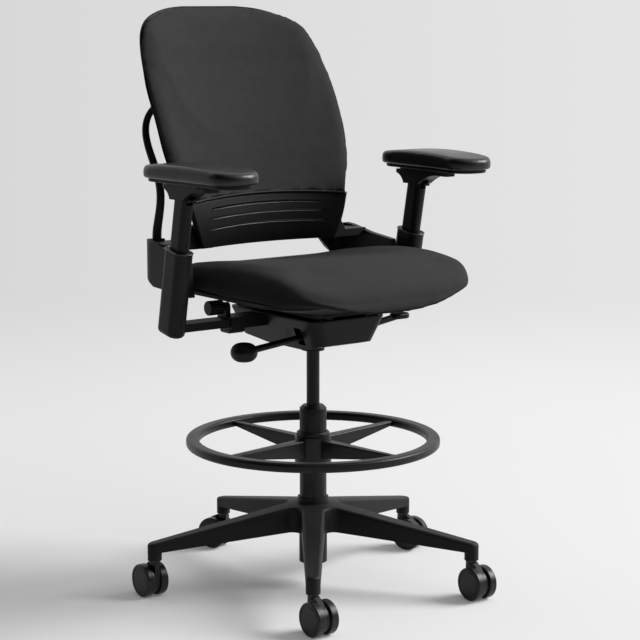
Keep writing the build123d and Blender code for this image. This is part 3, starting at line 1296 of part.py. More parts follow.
def arm_pad():
    """Soft pad of the left arm: crowned along its length, with rounded edges."""
    half = PAD_LENGTH / 2
    end = PAD_END_THICKNESS
    crown = ThreePointArc((-half, end), (0, PAD_CROWN), (half, end))
    crown += Polyline((half, end), (half, 0), (-half, 0), (-half, end))
    side_view = extrude(Plane.YZ * make_face(crown), PAD_WIDTH / 2, both=True)
    pad = extrude(pad_outline(0), PAD_CROWN) & side_view
    pad = fillet(pad.faces().sort_by(Axis.Z)[-1].edges(), PAD_TOP_ROUND)
    return pad_place(PAD_LOW) * fillet(pad.faces().sort_by(Axis.Z)[0].edges(), PAD_BOTTOM_ROUND)


def pieces():
    """Every piece by its name."""
    made = {
        "base_star": base_star(),
        "caster_stems": caster_stems(),
        "column_tube": column_tube(),
        "column_bush": column_bush(),
        "rod_bearing": rod_bearing(),
        "piston_rod": piston_rod(),
        "rod_clip": rod_clip(),
        "gas_cylinder": gas_cylinder(),
        "release_pin": release_pin(),
        "foot_hoop": foot_hoop(),
        "foot_spider": foot_spider(),
        "foot_liner": foot_liner(),
        "foot_collar": foot_collar(),
        "mech_housing": mech_housing(),
        "mech_lid": mech_lid(),
        "lid_screws": lid_screws(),
        "tilt_shaft": tilt_shaft(),
        "torsion_bushes": torsion_bushes(),
        "height_lever": height_lever(),
        "tension_knob": tension_knob(),
        "seat_carriage": seat_carriage(),
        "seat_pan": seat_pan(),
        "seat_cushion": seat_cushion(),
        "depth_lever": depth_lever(),
        "back_yoke": back_yoke(),
        "back_shell": back_shell(),
        "back_cushion": back_cushion(),
        "shell_pins": shell_pins(),
    }
    for number, place in leg_points():
        turned = place * Rot(0, 0, CASTER_HEADINGS[number - 1])
        made[f"caster_{number}_body"] = turned * caster_body()
        for side, sign in SIDES.items():
            made[f"caster_{number}_wheel_{side}"] = turned * caster_wheel(sign)
    paired = {
        "upright_{}": upright(),
        "arm_{}_support": arm_support(),
        "arm_{}_stalk": arm_stalk(),
        "arm_{}_trigger": arm_trigger(),
        "arm_{}_slider": arm_slider(),
        "arm_{}_pad_base": arm_pad_base(),
        "arm_{}_pad": arm_pad(),
    }
    for pattern, piece in paired.items():
        made[pattern.format("left")] = piece
        made[pattern.format("right")] = mirror(piece, about=Plane.YZ)
    return made


os.makedirs("parts", exist_ok=True)
for name, piece in pieces().items():
    export_step(piece, f"parts/{name}.step")
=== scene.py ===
"""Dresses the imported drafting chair: cushions, pads, finishes, and a plain pale studio round it."""

from __future__ import annotations

import json
import logging
import math
from dataclasses import dataclass, field
from enum import Enum
from typing import Iterable, Mapping, Optional, Sequence, Union

import bmesh
import bpy
import numpy as np
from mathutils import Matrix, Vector
from mathutils.bvhtree import BVHTree

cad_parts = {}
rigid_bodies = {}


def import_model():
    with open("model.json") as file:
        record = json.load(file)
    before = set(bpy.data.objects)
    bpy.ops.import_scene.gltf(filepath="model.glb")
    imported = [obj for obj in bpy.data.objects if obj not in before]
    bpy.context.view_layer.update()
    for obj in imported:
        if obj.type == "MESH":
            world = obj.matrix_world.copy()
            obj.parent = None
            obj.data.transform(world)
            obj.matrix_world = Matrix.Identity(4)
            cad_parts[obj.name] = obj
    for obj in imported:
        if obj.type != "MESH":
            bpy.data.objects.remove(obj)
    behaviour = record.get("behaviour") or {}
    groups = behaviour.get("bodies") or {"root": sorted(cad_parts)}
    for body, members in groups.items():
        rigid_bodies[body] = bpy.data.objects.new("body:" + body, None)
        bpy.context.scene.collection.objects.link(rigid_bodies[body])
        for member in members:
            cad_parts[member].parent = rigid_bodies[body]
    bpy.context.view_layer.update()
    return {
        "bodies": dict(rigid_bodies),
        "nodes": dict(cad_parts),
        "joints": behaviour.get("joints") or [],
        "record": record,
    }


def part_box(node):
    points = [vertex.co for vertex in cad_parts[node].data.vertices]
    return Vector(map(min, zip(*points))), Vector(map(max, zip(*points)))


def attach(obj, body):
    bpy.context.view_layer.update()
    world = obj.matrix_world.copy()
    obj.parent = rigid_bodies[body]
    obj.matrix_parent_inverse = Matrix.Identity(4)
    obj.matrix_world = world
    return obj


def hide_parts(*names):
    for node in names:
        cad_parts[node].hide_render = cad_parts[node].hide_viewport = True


LOG = logging.getLogger("drafting_chair")
SIDES = ("left", "right")
CASTERS = range(1, 6)
DOWN = Vector((0, 0, -1))
REARWARD = Vector((0, 1, 0))
HALFWAY = 0.5
STEP_BACK = -0.52

Term = Union["Signal", float]
Colour = tuple[float, float, float, float]
Shade = Union["Signal", Colour]


def grey(tone: float, warmth: float = 0.0) -> Colour:
    """Gives a near-neutral colour.

    Args:
        tone: linear brightness.
        warmth: share added to red and taken from blue.

    Returns:
        A linear RGBA colour.
    """
    return (tone * (1 + warmth), tone, tone * (1 - warmth), 1.0)


def shades(tone: float, span: Sequence[float]) -> tuple[Colour, ...]:
    """Gives the neutral colours that a finish is mixed from.

    Args:
        tone: its linear brightness.
        span: shares of that brightness, from the darkest on.

    Returns:
        A linear RGBA colour for each share.
    """
    return tuple(grey(tone * share) for share in span)


class Slot(Enum):
    """The record's material slots, by the name each has there."""

    BASE = "base_plastic"
    STEEL = "steel"
    COLUMN = "column_paint"
    BUSH = "bush_plastic"
    FOOT_RING = "foot_ring_plastic"
    MECHANISM = "mechanism_paint"
    RUBBER = "bush_rubber"
    LEVER = "lever_plastic"
    SEAT = "seat_plastic"
    UPHOLSTERY = "upholstery"
    YOKE = "yoke_plastic"
    SHELL = "shell_plastic"
    UPRIGHT = "upright_paint"
    CASTER = "caster_plastic"
    WHEEL = "wheel_plastic"
    ARM = "arm_plastic"
    PAD = "pad_skin"


class Signal:
    """A shader socket that arithmetic works on; each operation adds a Math node."""

    def __init__(self, graph: "Graph", socket: bpy.types.NodeSocket) -> None:
        """Keeps the graph and the output socket the value comes from."""
        self.graph = graph
        self.socket = socket

    def _math(self, operation: str, *terms: Term) -> "Signal":
        """Adds one Math node.

        Args:
            operation: the node's operation.
            terms: values or signals for its inputs, in order.

        Returns:
            The node's result.
        """
        node = self.graph.node("ShaderNodeMath", {"operation": operation}, dict(enumerate(terms)))
        return Signal(self.graph, node.outputs[0])

    def __add__(self, other: Term) -> "Signal":
        """Adds."""
        return self._math("ADD", self, other)

    __radd__ = __add__

    def __sub__(self, other: Term) -> "Signal":
        """Takes away."""
        return self._math("SUBTRACT", self, other)

    def __rsub__(self, other: Term) -> "Signal":
        """Takes this from a number."""
        return self._math("SUBTRACT", other, self)

    def __mul__(self, other: Term) -> "Signal":
        """Multiplies."""
        return self._math("MULTIPLY", self, other)

    __rmul__ = __mul__

    def __truediv__(self, other: Term) -> "Signal":
        """Divides."""
        return self._math("DIVIDE", self, other)

    def __rtruediv__(self, other: Term) -> "Signal":
        """Divides a number by this."""
        return self._math("DIVIDE", other, self)

    def __abs__(self) -> "Signal":
        """Drops the sign."""
        return self._math("ABSOLUTE", self)

    def root(self) -> "Signal":
        """Gives the square root."""
        return self._math("SQRT", self)

    def sine(self) -> "Signal":
        """Gives the sine of an angle in radians."""
        return self._math("SINE", self)

    def rise(self, low: float, high: float) -> "Signal":
        """Eases from 0 to 1.

        Args:
            low: value at which the result leaves 0.
            high: value at which the result reaches 1.

        Returns:
            The eased signal.
        """
        node = self.graph.node(
            "ShaderNodeMapRange",
            {"interpolation_type": "SMOOTHSTEP"},
            {"Value": self, "From Min": low, "From Max": high},
        )
        return Signal(self.graph, node.outputs[0])


class Graph:
    """The node tree of one material or of the world."""

    def __init__(self, tree: bpy.types.NodeTree) -> None:
        """Takes over a node tree and empties it."""
        self.tree = tree
        tree.nodes.clear()

    def node(
        self,
        kind: str,
        settings: Mapping[str, object] | None = None,
        inputs: Mapping[Union[str, int], object] | None = None,
    ) -> bpy.types.Node:
        """Adds a node.

        Args:
            kind: the node's type.
            settings: its own properties, set before its sockets.
            inputs: values or signals for its sockets.

        Returns:
            The new node.
        """
        made = self.tree.nodes.new(kind)
        for key, value in (settings or {}).items():
            setattr(made, key, value)
        for key, value in (inputs or {}).items():
            if isinstance(value, Signal):
                self.tree.links.new(value.socket, made.inputs[key])
            else:
                made.inputs[key].default_value = value
        return made

    def signal(
        self,
        kind: str,
        output: Union[str, int] = 0,
        settings: Mapping[str, object] | None = None,
        inputs: Mapping[Union[str, int], object] | None = None,
    ) -> Signal:
        """Adds a node and gives one of its outputs.

        Args:
            kind: the node's type.
            output: the output's name or number.
            settings: its own properties.
            inputs: values or signals for its sockets.

        Returns:
            That output as a signal.
        """
        return Signal(self, self.node(kind, settings, inputs).outputs[output])

    def axes(self, output: str) -> tuple[Signal, Signal, Signal]:
        """Splits one output of Texture Coordinate into X, Y and Z.

        Args:
            output: "Object" for the place on the piece, or "Normal".

        Returns:
            The three parts.
        """
        source = self.signal("ShaderNodeTexCoord", output)
        split = self.node("ShaderNodeSeparateXYZ", None, {0: source})
        return tuple(Signal(self, socket) for socket in split.outputs)

    def noise(self, size: float, detail: float = 2.0) -> Signal:
        """Gives noise on the piece's own place.

        Args:
            size: width of one blotch, in metres.
            detail: finer layers added to it.

        Returns:
            The noise, about 0.5.
        """
        place = self.signal("ShaderNodeTexCoord", "Object")
        return self.signal(
            "ShaderNodeTexNoise", 0, None, {"Vector": place, "Scale": 1 / size, "Detail": detail}
        )

    def mix(self, share: Term, first: Shade, second: Shade) -> Signal:
        """Mixes two colours.

        Args:
            share: 0 for the first colour, 1 for the second.
            first: linear RGBA, or a signal that holds one.
            second: the same.

        Returns:
            The mixed colour.
        """
        return self.signal(
            "ShaderNodeMix", 2, {"data_type": "RGBA"}, {0: share, 6: first, 7: second}
        )

    def bump(self, height: Signal, depth: float, strength: float) -> Signal:
        """Turns a height into a normal.

        Args:
            height: the relief.
            depth: how deep a height of 1 is, in metres.
            strength: share of the effect.

        Returns:
            The bumped normal.
        """
        inputs = {"Height": height, "Distance": depth, "Strength": strength}
        return self.signal("ShaderNodeBump", 0, None, inputs)

    def surface(self, **sockets: object) -> None:
        """Ends the graph in a Principled shader.

        Args:
            sockets: the shader's inputs, with _ for a space.
        """
        inputs = {key.replace("_", " "): value for key, value in sockets.items()}
        shader = self.signal("ShaderNodeBsdfPrincipled", 0, None, inputs)
        self.node("ShaderNodeOutputMaterial", None, {"Surface": shader})


def new_material(name: str) -> tuple[bpy.types.Material, Graph]:
    """Makes an empty node material.

    Args:
        name: its name.

    Returns:
        The material and its graph.
    """
    material = bpy.data.materials.new(name)
    material.use_nodes = True
    return material, Graph(material.node_tree)


@dataclass(frozen=True)
class MouldedPlastic:
    """Black moulded plastic: a spark-eroded grain, faint flow marks, and convex edges a little smoother and
    painted lighter as a painted highlight.
    """

    tone: float = 0.012
    roughness: float = 0.5
    specular: float = 0.2
    grain: float = 0.0009
    grain_depth: float = 0.00012
    grain_strength: float = 0.45
    edge_highlight_gain: float = 0.5
    edge_highlight_span: tuple[float, float] = (0.53, 0.66)
    flow: float = 0.09
    tone_span: tuple[float, float] = (0.86, 1.5)

    def build(self, name: str) -> bpy.types.Material:
        """Makes the material.

        Args:
            name: its name.

        Returns:
            The finished material.
        """
        material, graph = new_material(name)
        flow = graph.noise(self.flow)
        grain = graph.noise(self.grain, 1.0)
        # Convex edges, found by Pointiness, get a painted highlight in the colour and a little less
        # roughness.
        edge = graph.signal("ShaderNodeNewGeometry", "Pointiness").rise(*self.edge_highlight_span)
        shade = flow * 0.5 + edge * self.edge_highlight_gain
        graph.surface(
            Base_Color=graph.mix(shade, *shades(self.tone, self.tone_span)),
            Roughness=self.roughness + (flow - 0.5) * 0.12 + (grain - 0.5) * 0.1 - edge * 0.06,
            Specular_IOR_Level=self.specular,
            Normal=graph.bump(grain, self.grain_depth, self.grain_strength),
        )
        return material


@dataclass(frozen=True)
class SatinPaint:
    """Black powder coat on metal: a soft orange peel and a few scuffs."""

    tone: float = 0.012
    roughness: float = 0.4
    specular: float = 0.25
    peel: float = 0.0022
    peel_depth: float = 0.00006
    scuff: float = 0.035
    scuff_span: tuple[float, float] = (0.62, 0.78)
    scuff_tone: float = 1.7

    def build(self, name: str) -> bpy.types.Material:
        """Makes the material.

        Args:
            name: its name.

        Returns:
            The finished material.
        """
        material, graph = new_material(name)
        peel = graph.noise(self.peel, 0.0)
        scuff = graph.noise(self.scuff, 6.0).rise(*self.scuff_span)
        graph.surface(
            Base_Color=graph.mix(scuff * 0.5, grey(self.tone), grey(self.tone * self.scuff_tone)),
            Roughness=self.roughness + scuff * 0.14 + (peel - 0.5) * 0.06,
            Specular_IOR_Level=self.specular,
            Normal=graph.bump(peel, self.peel_depth, 0.5),
        )
        return material


@dataclass(frozen=True)
class BareSteel:
    """Blackened turned steel with fine marks round the turning."""

    tone: float = 0.1
    roughness: float = 0.4
    mark_pitch: float = 0.0007
    mark_depth: float = 0.00002
    film: float = 0.02
    tone_span: tuple[float, float] = (0.75, 1.1)

    def build(self, name: str) -> bpy.types.Material:
        """Makes the material.

        Args:
            name: its name.

        Returns:
            The finished material.
        """
        material, graph = new_material(name)
        height = graph.axes("Object")[2]
        mark = (height * (math.tau / self.mark_pitch)).sine() * 0.5 + 0.5
        film = graph.noise(self.film, 4.0)
        graph.surface(
            Base_Color=graph.mix(film, *shades(self.tone, self.tone_span)),
            Metallic=1.0,
            Roughness=self.roughness + (film - 0.5) * 0.2,
            Normal=graph.bump(mark, self.mark_depth, 0.4),
        )
        return material


@dataclass(frozen=True)
class SoftRubber:
    """Dull black rubber with a bloom on it."""

    tone: float = 0.014
    roughness: float = 0.72
    bloom: float = 0.012
    bloom_depth: float = 0.0001
    tone_span: tuple[float, float] = (0.8, 1.4)

    def build(self, name: str) -> bpy.types.Material:
        """Makes the material.

        Args:
            name: its name.

        Returns:
            The finished material.
        """
        material, graph = new_material(name)
        bloom = graph.noise(self.bloom, 5.0)
        graph.surface(
            Base_Color=graph.mix(bloom, *shades(self.tone, self.tone_span)),
            Roughness=self.roughness + (bloom - 0.5) * 0.2,
            Specular_IOR_Level=0.25,
            Normal=graph.bump(bloom, self.bloom_depth, 0.3),
        )
        return material


@dataclass(frozen=True)
class WovenCloth:
    """Charcoal plain-weave upholstery: crossing yarns, slubs and a little sheen."""

    tone: float = 0.045
    pitch: float = 0.0016
    relief: float = 0.00022
    mottle: float = 0.018
    fibre: float = 0.0007
    roughness: float = 0.86
    specular: float = 0.08
    sheen: float = 0.04
    tone_span: tuple[float, float] = (0.72, 1.28)

    def build(self, name: str) -> bpy.types.Material:
        """Makes the material.

        Args:
            name: its name.

        Returns:
            The finished material.
        """
        material, graph = new_material(name)
        turns = [(axis * (math.tau / self.pitch)).sine() for axis in graph.axes("Object")]
        faces = [abs(part) for part in graph.axes("Normal")]
        weave = (
            turns[0] * turns[1] * faces[2]
            + turns[0] * turns[2] * faces[1]
            + turns[1] * turns[2] * faces[0]
        )
        slub = graph.noise(self.mottle, 5.0)
        fibre = graph.noise(self.fibre, 2.0)
        shade = 0.5 + weave * 0.3 + (slub - 0.5) * 0.6 + (fibre - 0.5) * 0.5
        graph.surface(
            Base_Color=graph.mix(shade, *shades(self.tone, self.tone_span)),
            Roughness=self.roughness + (slub - 0.5) * 0.12,
            Specular_IOR_Level=self.specular,
            Sheen_Weight=self.sheen,
            Sheen_Roughness=0.45,
            Sheen_Tint=grey(0.5),
            Normal=graph.bump(weave + fibre * 0.6, self.relief, 0.5),
        )
        return material


@dataclass(frozen=True)
class MouldedSkin:
    """The soft skin of an arm pad: a fine pebble grain with a low sheen, polished where hands rest."""

    tone: float = 0.014
    roughness: float = 0.32
    specular: float = 0.4
    pebble: float = 0.0014
    pebble_depth: float = 0.00012
    polish: float = 0.06
    tone_span: tuple[float, float] = (0.85, 1.3)

    def build(self, name: str) -> bpy.types.Material:
        """Makes the material.

        Args:
            name: its name.

        Returns:
            The finished material.
        """
        material, graph = new_material(name)
        place = graph.signal("ShaderNodeTexCoord", "Object")
        pebble = graph.signal(
            "ShaderNodeTexVoronoi",
            "Distance",
            {"feature": "SMOOTH_F1"},
            {"Vector": place, "Scale": 1 / self.pebble},
        )
        polish = graph.noise(self.polish, 3.0).rise(0.4, 0.65)
        upward = graph.axes("Normal")[2].rise(0.5, 0.95)
        graph.surface(
            Base_Color=graph.mix(pebble + polish * 0.2, *shades(self.tone, self.tone_span)),
            Roughness=self.roughness + pebble * 0.06 - polish * upward * 0.07,
            Specular_IOR_Level=self.specular,
            Normal=graph.bump(pebble, self.pebble_depth, 0.3),
        )
        return material


FINISHES: dict[Slot, object] = {
    Slot.BASE: MouldedPlastic(tone=0.016, roughness=0.52),
    Slot.STEEL: BareSteel(),
    Slot.COLUMN: SatinPaint(tone=0.01),
    Slot.BUSH: MouldedPlastic(tone=0.011, roughness=0.44, grain_depth=0.00006),
    Slot.FOOT_RING: MouldedPlastic(tone=0.011, roughness=0.38, specular=0.25),
    Slot.MECHANISM: SatinPaint(tone=0.01, roughness=0.46, specular=0.2),
    Slot.RUBBER: SoftRubber(),
    Slot.LEVER: MouldedPlastic(tone=0.01, roughness=0.42, grain_depth=0.00005),
    Slot.SEAT: MouldedPlastic(tone=0.011, roughness=0.55),
    Slot.UPHOLSTERY: WovenCloth(),
    Slot.YOKE: MouldedPlastic(tone=0.013, roughness=0.5),
    Slot.SHELL: MouldedPlastic(tone=0.007, roughness=0.5, specular=0.12),
    Slot.UPRIGHT: SatinPaint(tone=0.008, roughness=0.42),
    Slot.CASTER: MouldedPlastic(tone=0.012, roughness=0.36, grain_depth=0.00004, specular=0.3),
    Slot.WHEEL: MouldedPlastic(tone=0.014, roughness=0.34, grain_depth=0.00003, specular=0.35),
    Slot.ARM: MouldedPlastic(tone=0.011, roughness=0.48),
    Slot.PAD: MouldedSkin(),
}


class FinishRack:
    """Builds each finish once and hands it out by slot."""

    def __init__(self) -> None:
        """Starts with no finish made."""
        self._made: dict[Slot, bpy.types.Material] = {}

    def __getitem__(self, slot: Slot) -> bpy.types.Material:
        """Gives the material of a slot, made on first use."""
        if slot not in self._made:
            self._made[slot] = FINISHES[slot].build(slot.value)
        return self._made[slot]

    def dress(self, piece: bpy.types.Object, slot: Slot) -> None:
        """Puts a finish on every face of a piece.

        Args:
            piece: a CAD node or a new piece.
            slot: the finish.
        """
        piece.data.materials.clear()
        piece.data.materials.append(self[slot])


@dataclass
class HardParts:
    """The rigid CAD nodes, which keep their shapes and take better finishes."""

    rack: FinishRack
    nodes: Mapping[str, bpy.types.Object]
    slots: dict[str, Slot] = field(
        default_factory=lambda: {
            "base_star": Slot.BASE,
            "caster_stems": Slot.STEEL,
            "column_tube": Slot.COLUMN,
            "column_bush": Slot.BUSH,
            "rod_bearing": Slot.STEEL,
            "piston_rod": Slot.STEEL,
            "rod_clip": Slot.STEEL,
            "gas_cylinder": Slot.COLUMN,
            "release_pin": Slot.STEEL,
            "foot_hoop": Slot.FOOT_RING,
            "foot_spider": Slot.FOOT_RING,
            "foot_liner": Slot.BUSH,
            "foot_collar": Slot.BUSH,
            "mech_housing": Slot.MECHANISM,
            "mech_lid": Slot.MECHANISM,
            "lid_screws": Slot.MECHANISM,
            "tilt_shaft": Slot.STEEL,
            "torsion_bushes": Slot.RUBBER,
            "height_lever": Slot.LEVER,
            "tension_knob": Slot.LEVER,
            "depth_lever": Slot.LEVER,
            "seat_carriage": Slot.SEAT,
            "seat_pan": Slot.SEAT,
            "back_yoke": Slot.YOKE,
            "back_shell": Slot.SHELL,
            "shell_pins": Slot.STEEL,
        }
    )

    def __post_init__(self) -> None:
        """Adds the nodes that come once per caster or once per side."""
        for number in CASTERS:
            self.slots[f"caster_{number}_body"] = Slot.CASTER
            for side in SIDES:
                self.slots[f"caster_{number}_wheel_{side}"] = Slot.WHEEL
        for side in SIDES:
            self.slots[f"upright_{side}"] = Slot.UPRIGHT
            for part in ("support", "stalk", "trigger", "slider", "pad_base"):
                self.slots[f"arm_{side}_{part}"] = Slot.ARM

    def build(self) -> None:
        """Dresses every rigid node."""
        for name, slot in self.slots.items():
            self.rack.dress(self.nodes[name], slot)
        LOG.info("dressed %d rigid nodes", len(self.slots))


def skin_of(piece: bpy.types.Object) -> BVHTree:
    """Makes a piece's surface ready to be searched.

    Args:
        piece: a CAD node or a copy of one, with its mesh in frame coordinates.

    Returns:
        The search tree.
    """
    mesh = piece.data
    return BVHTree.FromPolygons([v.co for v in mesh.vertices], [face.vertices for face in mesh.polygons])


def points_of(mesh: bpy.types.Mesh) -> np.ndarray:
    """Reads a mesh's points as rows of x, y and z."""
    places = np.empty(len(mesh.vertices) * 3)
    mesh.vertices.foreach_get("co", places)
    return places.reshape(-1, 3)


def put_points(mesh: bpy.types.Mesh, places: np.ndarray) -> None:
    """Writes a mesh's points back."""
    mesh.vertices.foreach_set("co", places.ravel())
    mesh.update()


def evened(
    mesh: bpy.types.Mesh, values: np.ndarray, steps: Sequence[float], free: Union[float, np.ndarray] = 1.0
) -> np.ndarray:
    """Draws the value at every point of a mesh towards the mean of its neighbours' values.

    Args:
        mesh: gives the neighbours.
        values: a row for each point.
        steps: the share of the way that each round goes.
        free: how freely each value changes, from 0 to 1.

    Returns:
        The new rows.
    """
    count = len(values)
    ends = np.empty(len(mesh.edges) * 2, dtype=np.int32)
    mesh.edges.foreach_get("vertices", ends)
    first, second = ends.reshape(-1, 2).T
    neighbours = np.bincount(ends, minlength=count)
    for step in steps:
        sums = [
            np.bincount(first, column[second], count) + np.bincount(second, column[first], count)
            for column in values.T
        ]
        values = values + step * free * (np.column_stack(sums) / neighbours[:, None] - values)
    return values


def extent(places: np.ndarray) -> tuple[np.ndarray, np.ndarray]:
    """Gives the lowest and highest corner of some points."""
    return places.min(axis=0), places.max(axis=0)


@dataclass
class PaddedPiece:
    """A stuffed piece grown from the space its CAD solid holds.

    The solid's mesh is copied, remeshed and laid back on the solid, and its free edges are rounded over.
    Cloth pressure then swells it, with the faces that rest on a support held still. The swelling is evened
    out, as firm foam would do, and no point moves beyond the cap.
    """

    name: str
    node: str
    body: str
    slot: Slot
    supports: Sequence[Vector]
    fill: float = 0.7
    voxel: float = 0.005
    drawn_in: float = 0.003
    drawing: int = 10
    pressure: float = 4.0
    held_from: float = 0.35
    cap: float = 0.006
    evening: int = 30
    rounding: int = 60
    rounding_axes: tuple[int, int, int] = (1, 1, 1)
    grip: float = 1.6
    settling: int = 60
    finishing: int = 2
    last_frame: int = 20

    def build(self, rack: FinishRack, nodes: Mapping[str, bpy.types.Object]) -> bpy.types.Object:
        """Makes the piece and sets it on its body in place of the solid.

        Args:
            rack: the finishes.
            nodes: the CAD nodes.

        Returns:
            The finished piece.
        """
        piece = self._blank(nodes[self.node])
        if self.pressure:
            self._swell(piece)
        self.shape(piece)
        self._relax(piece, self.finishing)
        piece.data.shade_smooth()
        piece.modifiers.new("fine", "SUBSURF").render_levels = 1
        rack.dress(piece, self.slot)
        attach(piece, self.body)
        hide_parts(self.node)
        LOG.info("%s: %d points", self.name, len(piece.data.vertices))
        return piece

    def shape(self, piece: bpy.types.Object) -> None:
        """Leaves the swollen form as it is; a kind of piece with seams moves its points here."""

    def _blank(self, solid: bpy.types.Object) -> bpy.types.Object:
        """Copies the solid's mesh, remeshes it, rounds it over and draws it in.

        Args:
            solid: the CAD node.

        Returns:
            A new object with an even mesh.
        """
        piece = bpy.data.objects.new(self.name, solid.data.copy())
        bpy.context.scene.collection.objects.link(piece)
        self._weld(piece)
        skin = skin_of(piece)
        remesh = piece.modifiers.new("even", "REMESH")
        remesh.mode = "VOXEL"
        remesh.voxel_size = self.voxel
        self._apply(piece)
        mesh = piece.data
        for vertex in mesh.vertices:
            vertex.co = skin.find_nearest(vertex.co)[0]
        mesh.update()
        self._relax(piece, self.evening)
        low, high = extent(points_of(mesh))
        free = np.array([1 - min(1.0, self.grip * self._resting(vertex.normal)) for vertex in mesh.vertices])
        free = free[:, None] * np.array(self.rounding_axes)
        places = evened(mesh, points_of(mesh), [HALFWAY] * self.rounding, free)
        new_low, new_high = extent(places)
        put_points(mesh, low + (places - new_low) * (high - low) / (new_high - new_low))
        draw = np.array([vertex.normal * (1 - self._resting(vertex.normal)) for vertex in mesh.vertices])
        put_points(mesh, points_of(mesh) - self.drawn_in * evened(mesh, draw, [HALFWAY] * self.drawing))
        return piece

    def _resting(self, normal: Vector) -> float:
        """Tells how squarely a face with this normal lies on one of the supports, from 0 to 1."""
        return max(0.0, *(normal.dot(support) for support in self.supports))

    def _weld(self, piece: bpy.types.Object) -> None:
        """Joins the facets along the solid's edges, so that the remesh has a closed skin."""
        skin = bmesh.new()
        skin.from_mesh(piece.data)
        bmesh.ops.remove_doubles(skin, verts=skin.verts, dist=1e-6)
        skin.to_mesh(piece.data)
        skin.free()

    def _relax(self, piece: bpy.types.Object, rounds: int) -> None:
        """Evens out the surface, with a step back after each step in so that the piece keeps its size."""
        mesh = piece.data
        put_points(mesh, evened(mesh, points_of(mesh), [HALFWAY, STEP_BACK] * rounds))

    def _apply(self, piece: bpy.types.Object) -> None:
        """Puts the result of a piece's modifiers into its mesh and drops them."""
        graph = bpy.context.evaluated_depsgraph_get()
        mesh = bpy.data.meshes.new_from_object(piece.evaluated_get(graph))
        piece.modifiers.clear()
        piece.data = mesh
        mesh.name = self.name

    def _swell(self, piece: bpy.types.Object) -> None:
        """Inflates the piece as a sewn cover over foam.

        Args:
            piece: the drawn-in piece.
        """
        mesh = piece.data
        start = points_of(mesh)
        held = [v.index for v in mesh.vertices if self._resting(v.normal) > self.held_from]
        group = piece.vertex_groups.new(name="held")
        group.add(held, 1.0, "REPLACE")
        cloth = piece.modifiers.new("cover", "CLOTH")
        cover = cloth.settings
        cover.quality = 4
        cover.mass = 0.3
        cover.tension_stiffness = 12
        cover.compression_stiffness = 12
        cover.shear_stiffness = 6
        cover.bending_stiffness = 0.6
        cover.use_pressure = True
        cover.uniform_pressure_force = self.pressure
        cover.vertex_group_mass = group.name
        cover.effector_weights.gravity = 0
        cloth.point_cache.frame_start = 1
        cloth.point_cache.frame_end = self.last_frame
        for frame in range(1, self.last_frame + 1):
            bpy.context.scene.frame_set(frame)
        graph = bpy.context.evaluated_depsgraph_get()
        moves = points_of(piece.evaluated_get(graph).data) - start
        piece.modifiers.clear()
        piece.vertex_groups.clear()
        bpy.context.scene.frame_set(1)
        moves = evened(mesh, moves, [HALFWAY] * self.settling)
        lengths = np.linalg.norm(moves, axis=1, keepdims=True)
        put_points(mesh, start + moves * self.cap / np.maximum(self.cap, lengths))


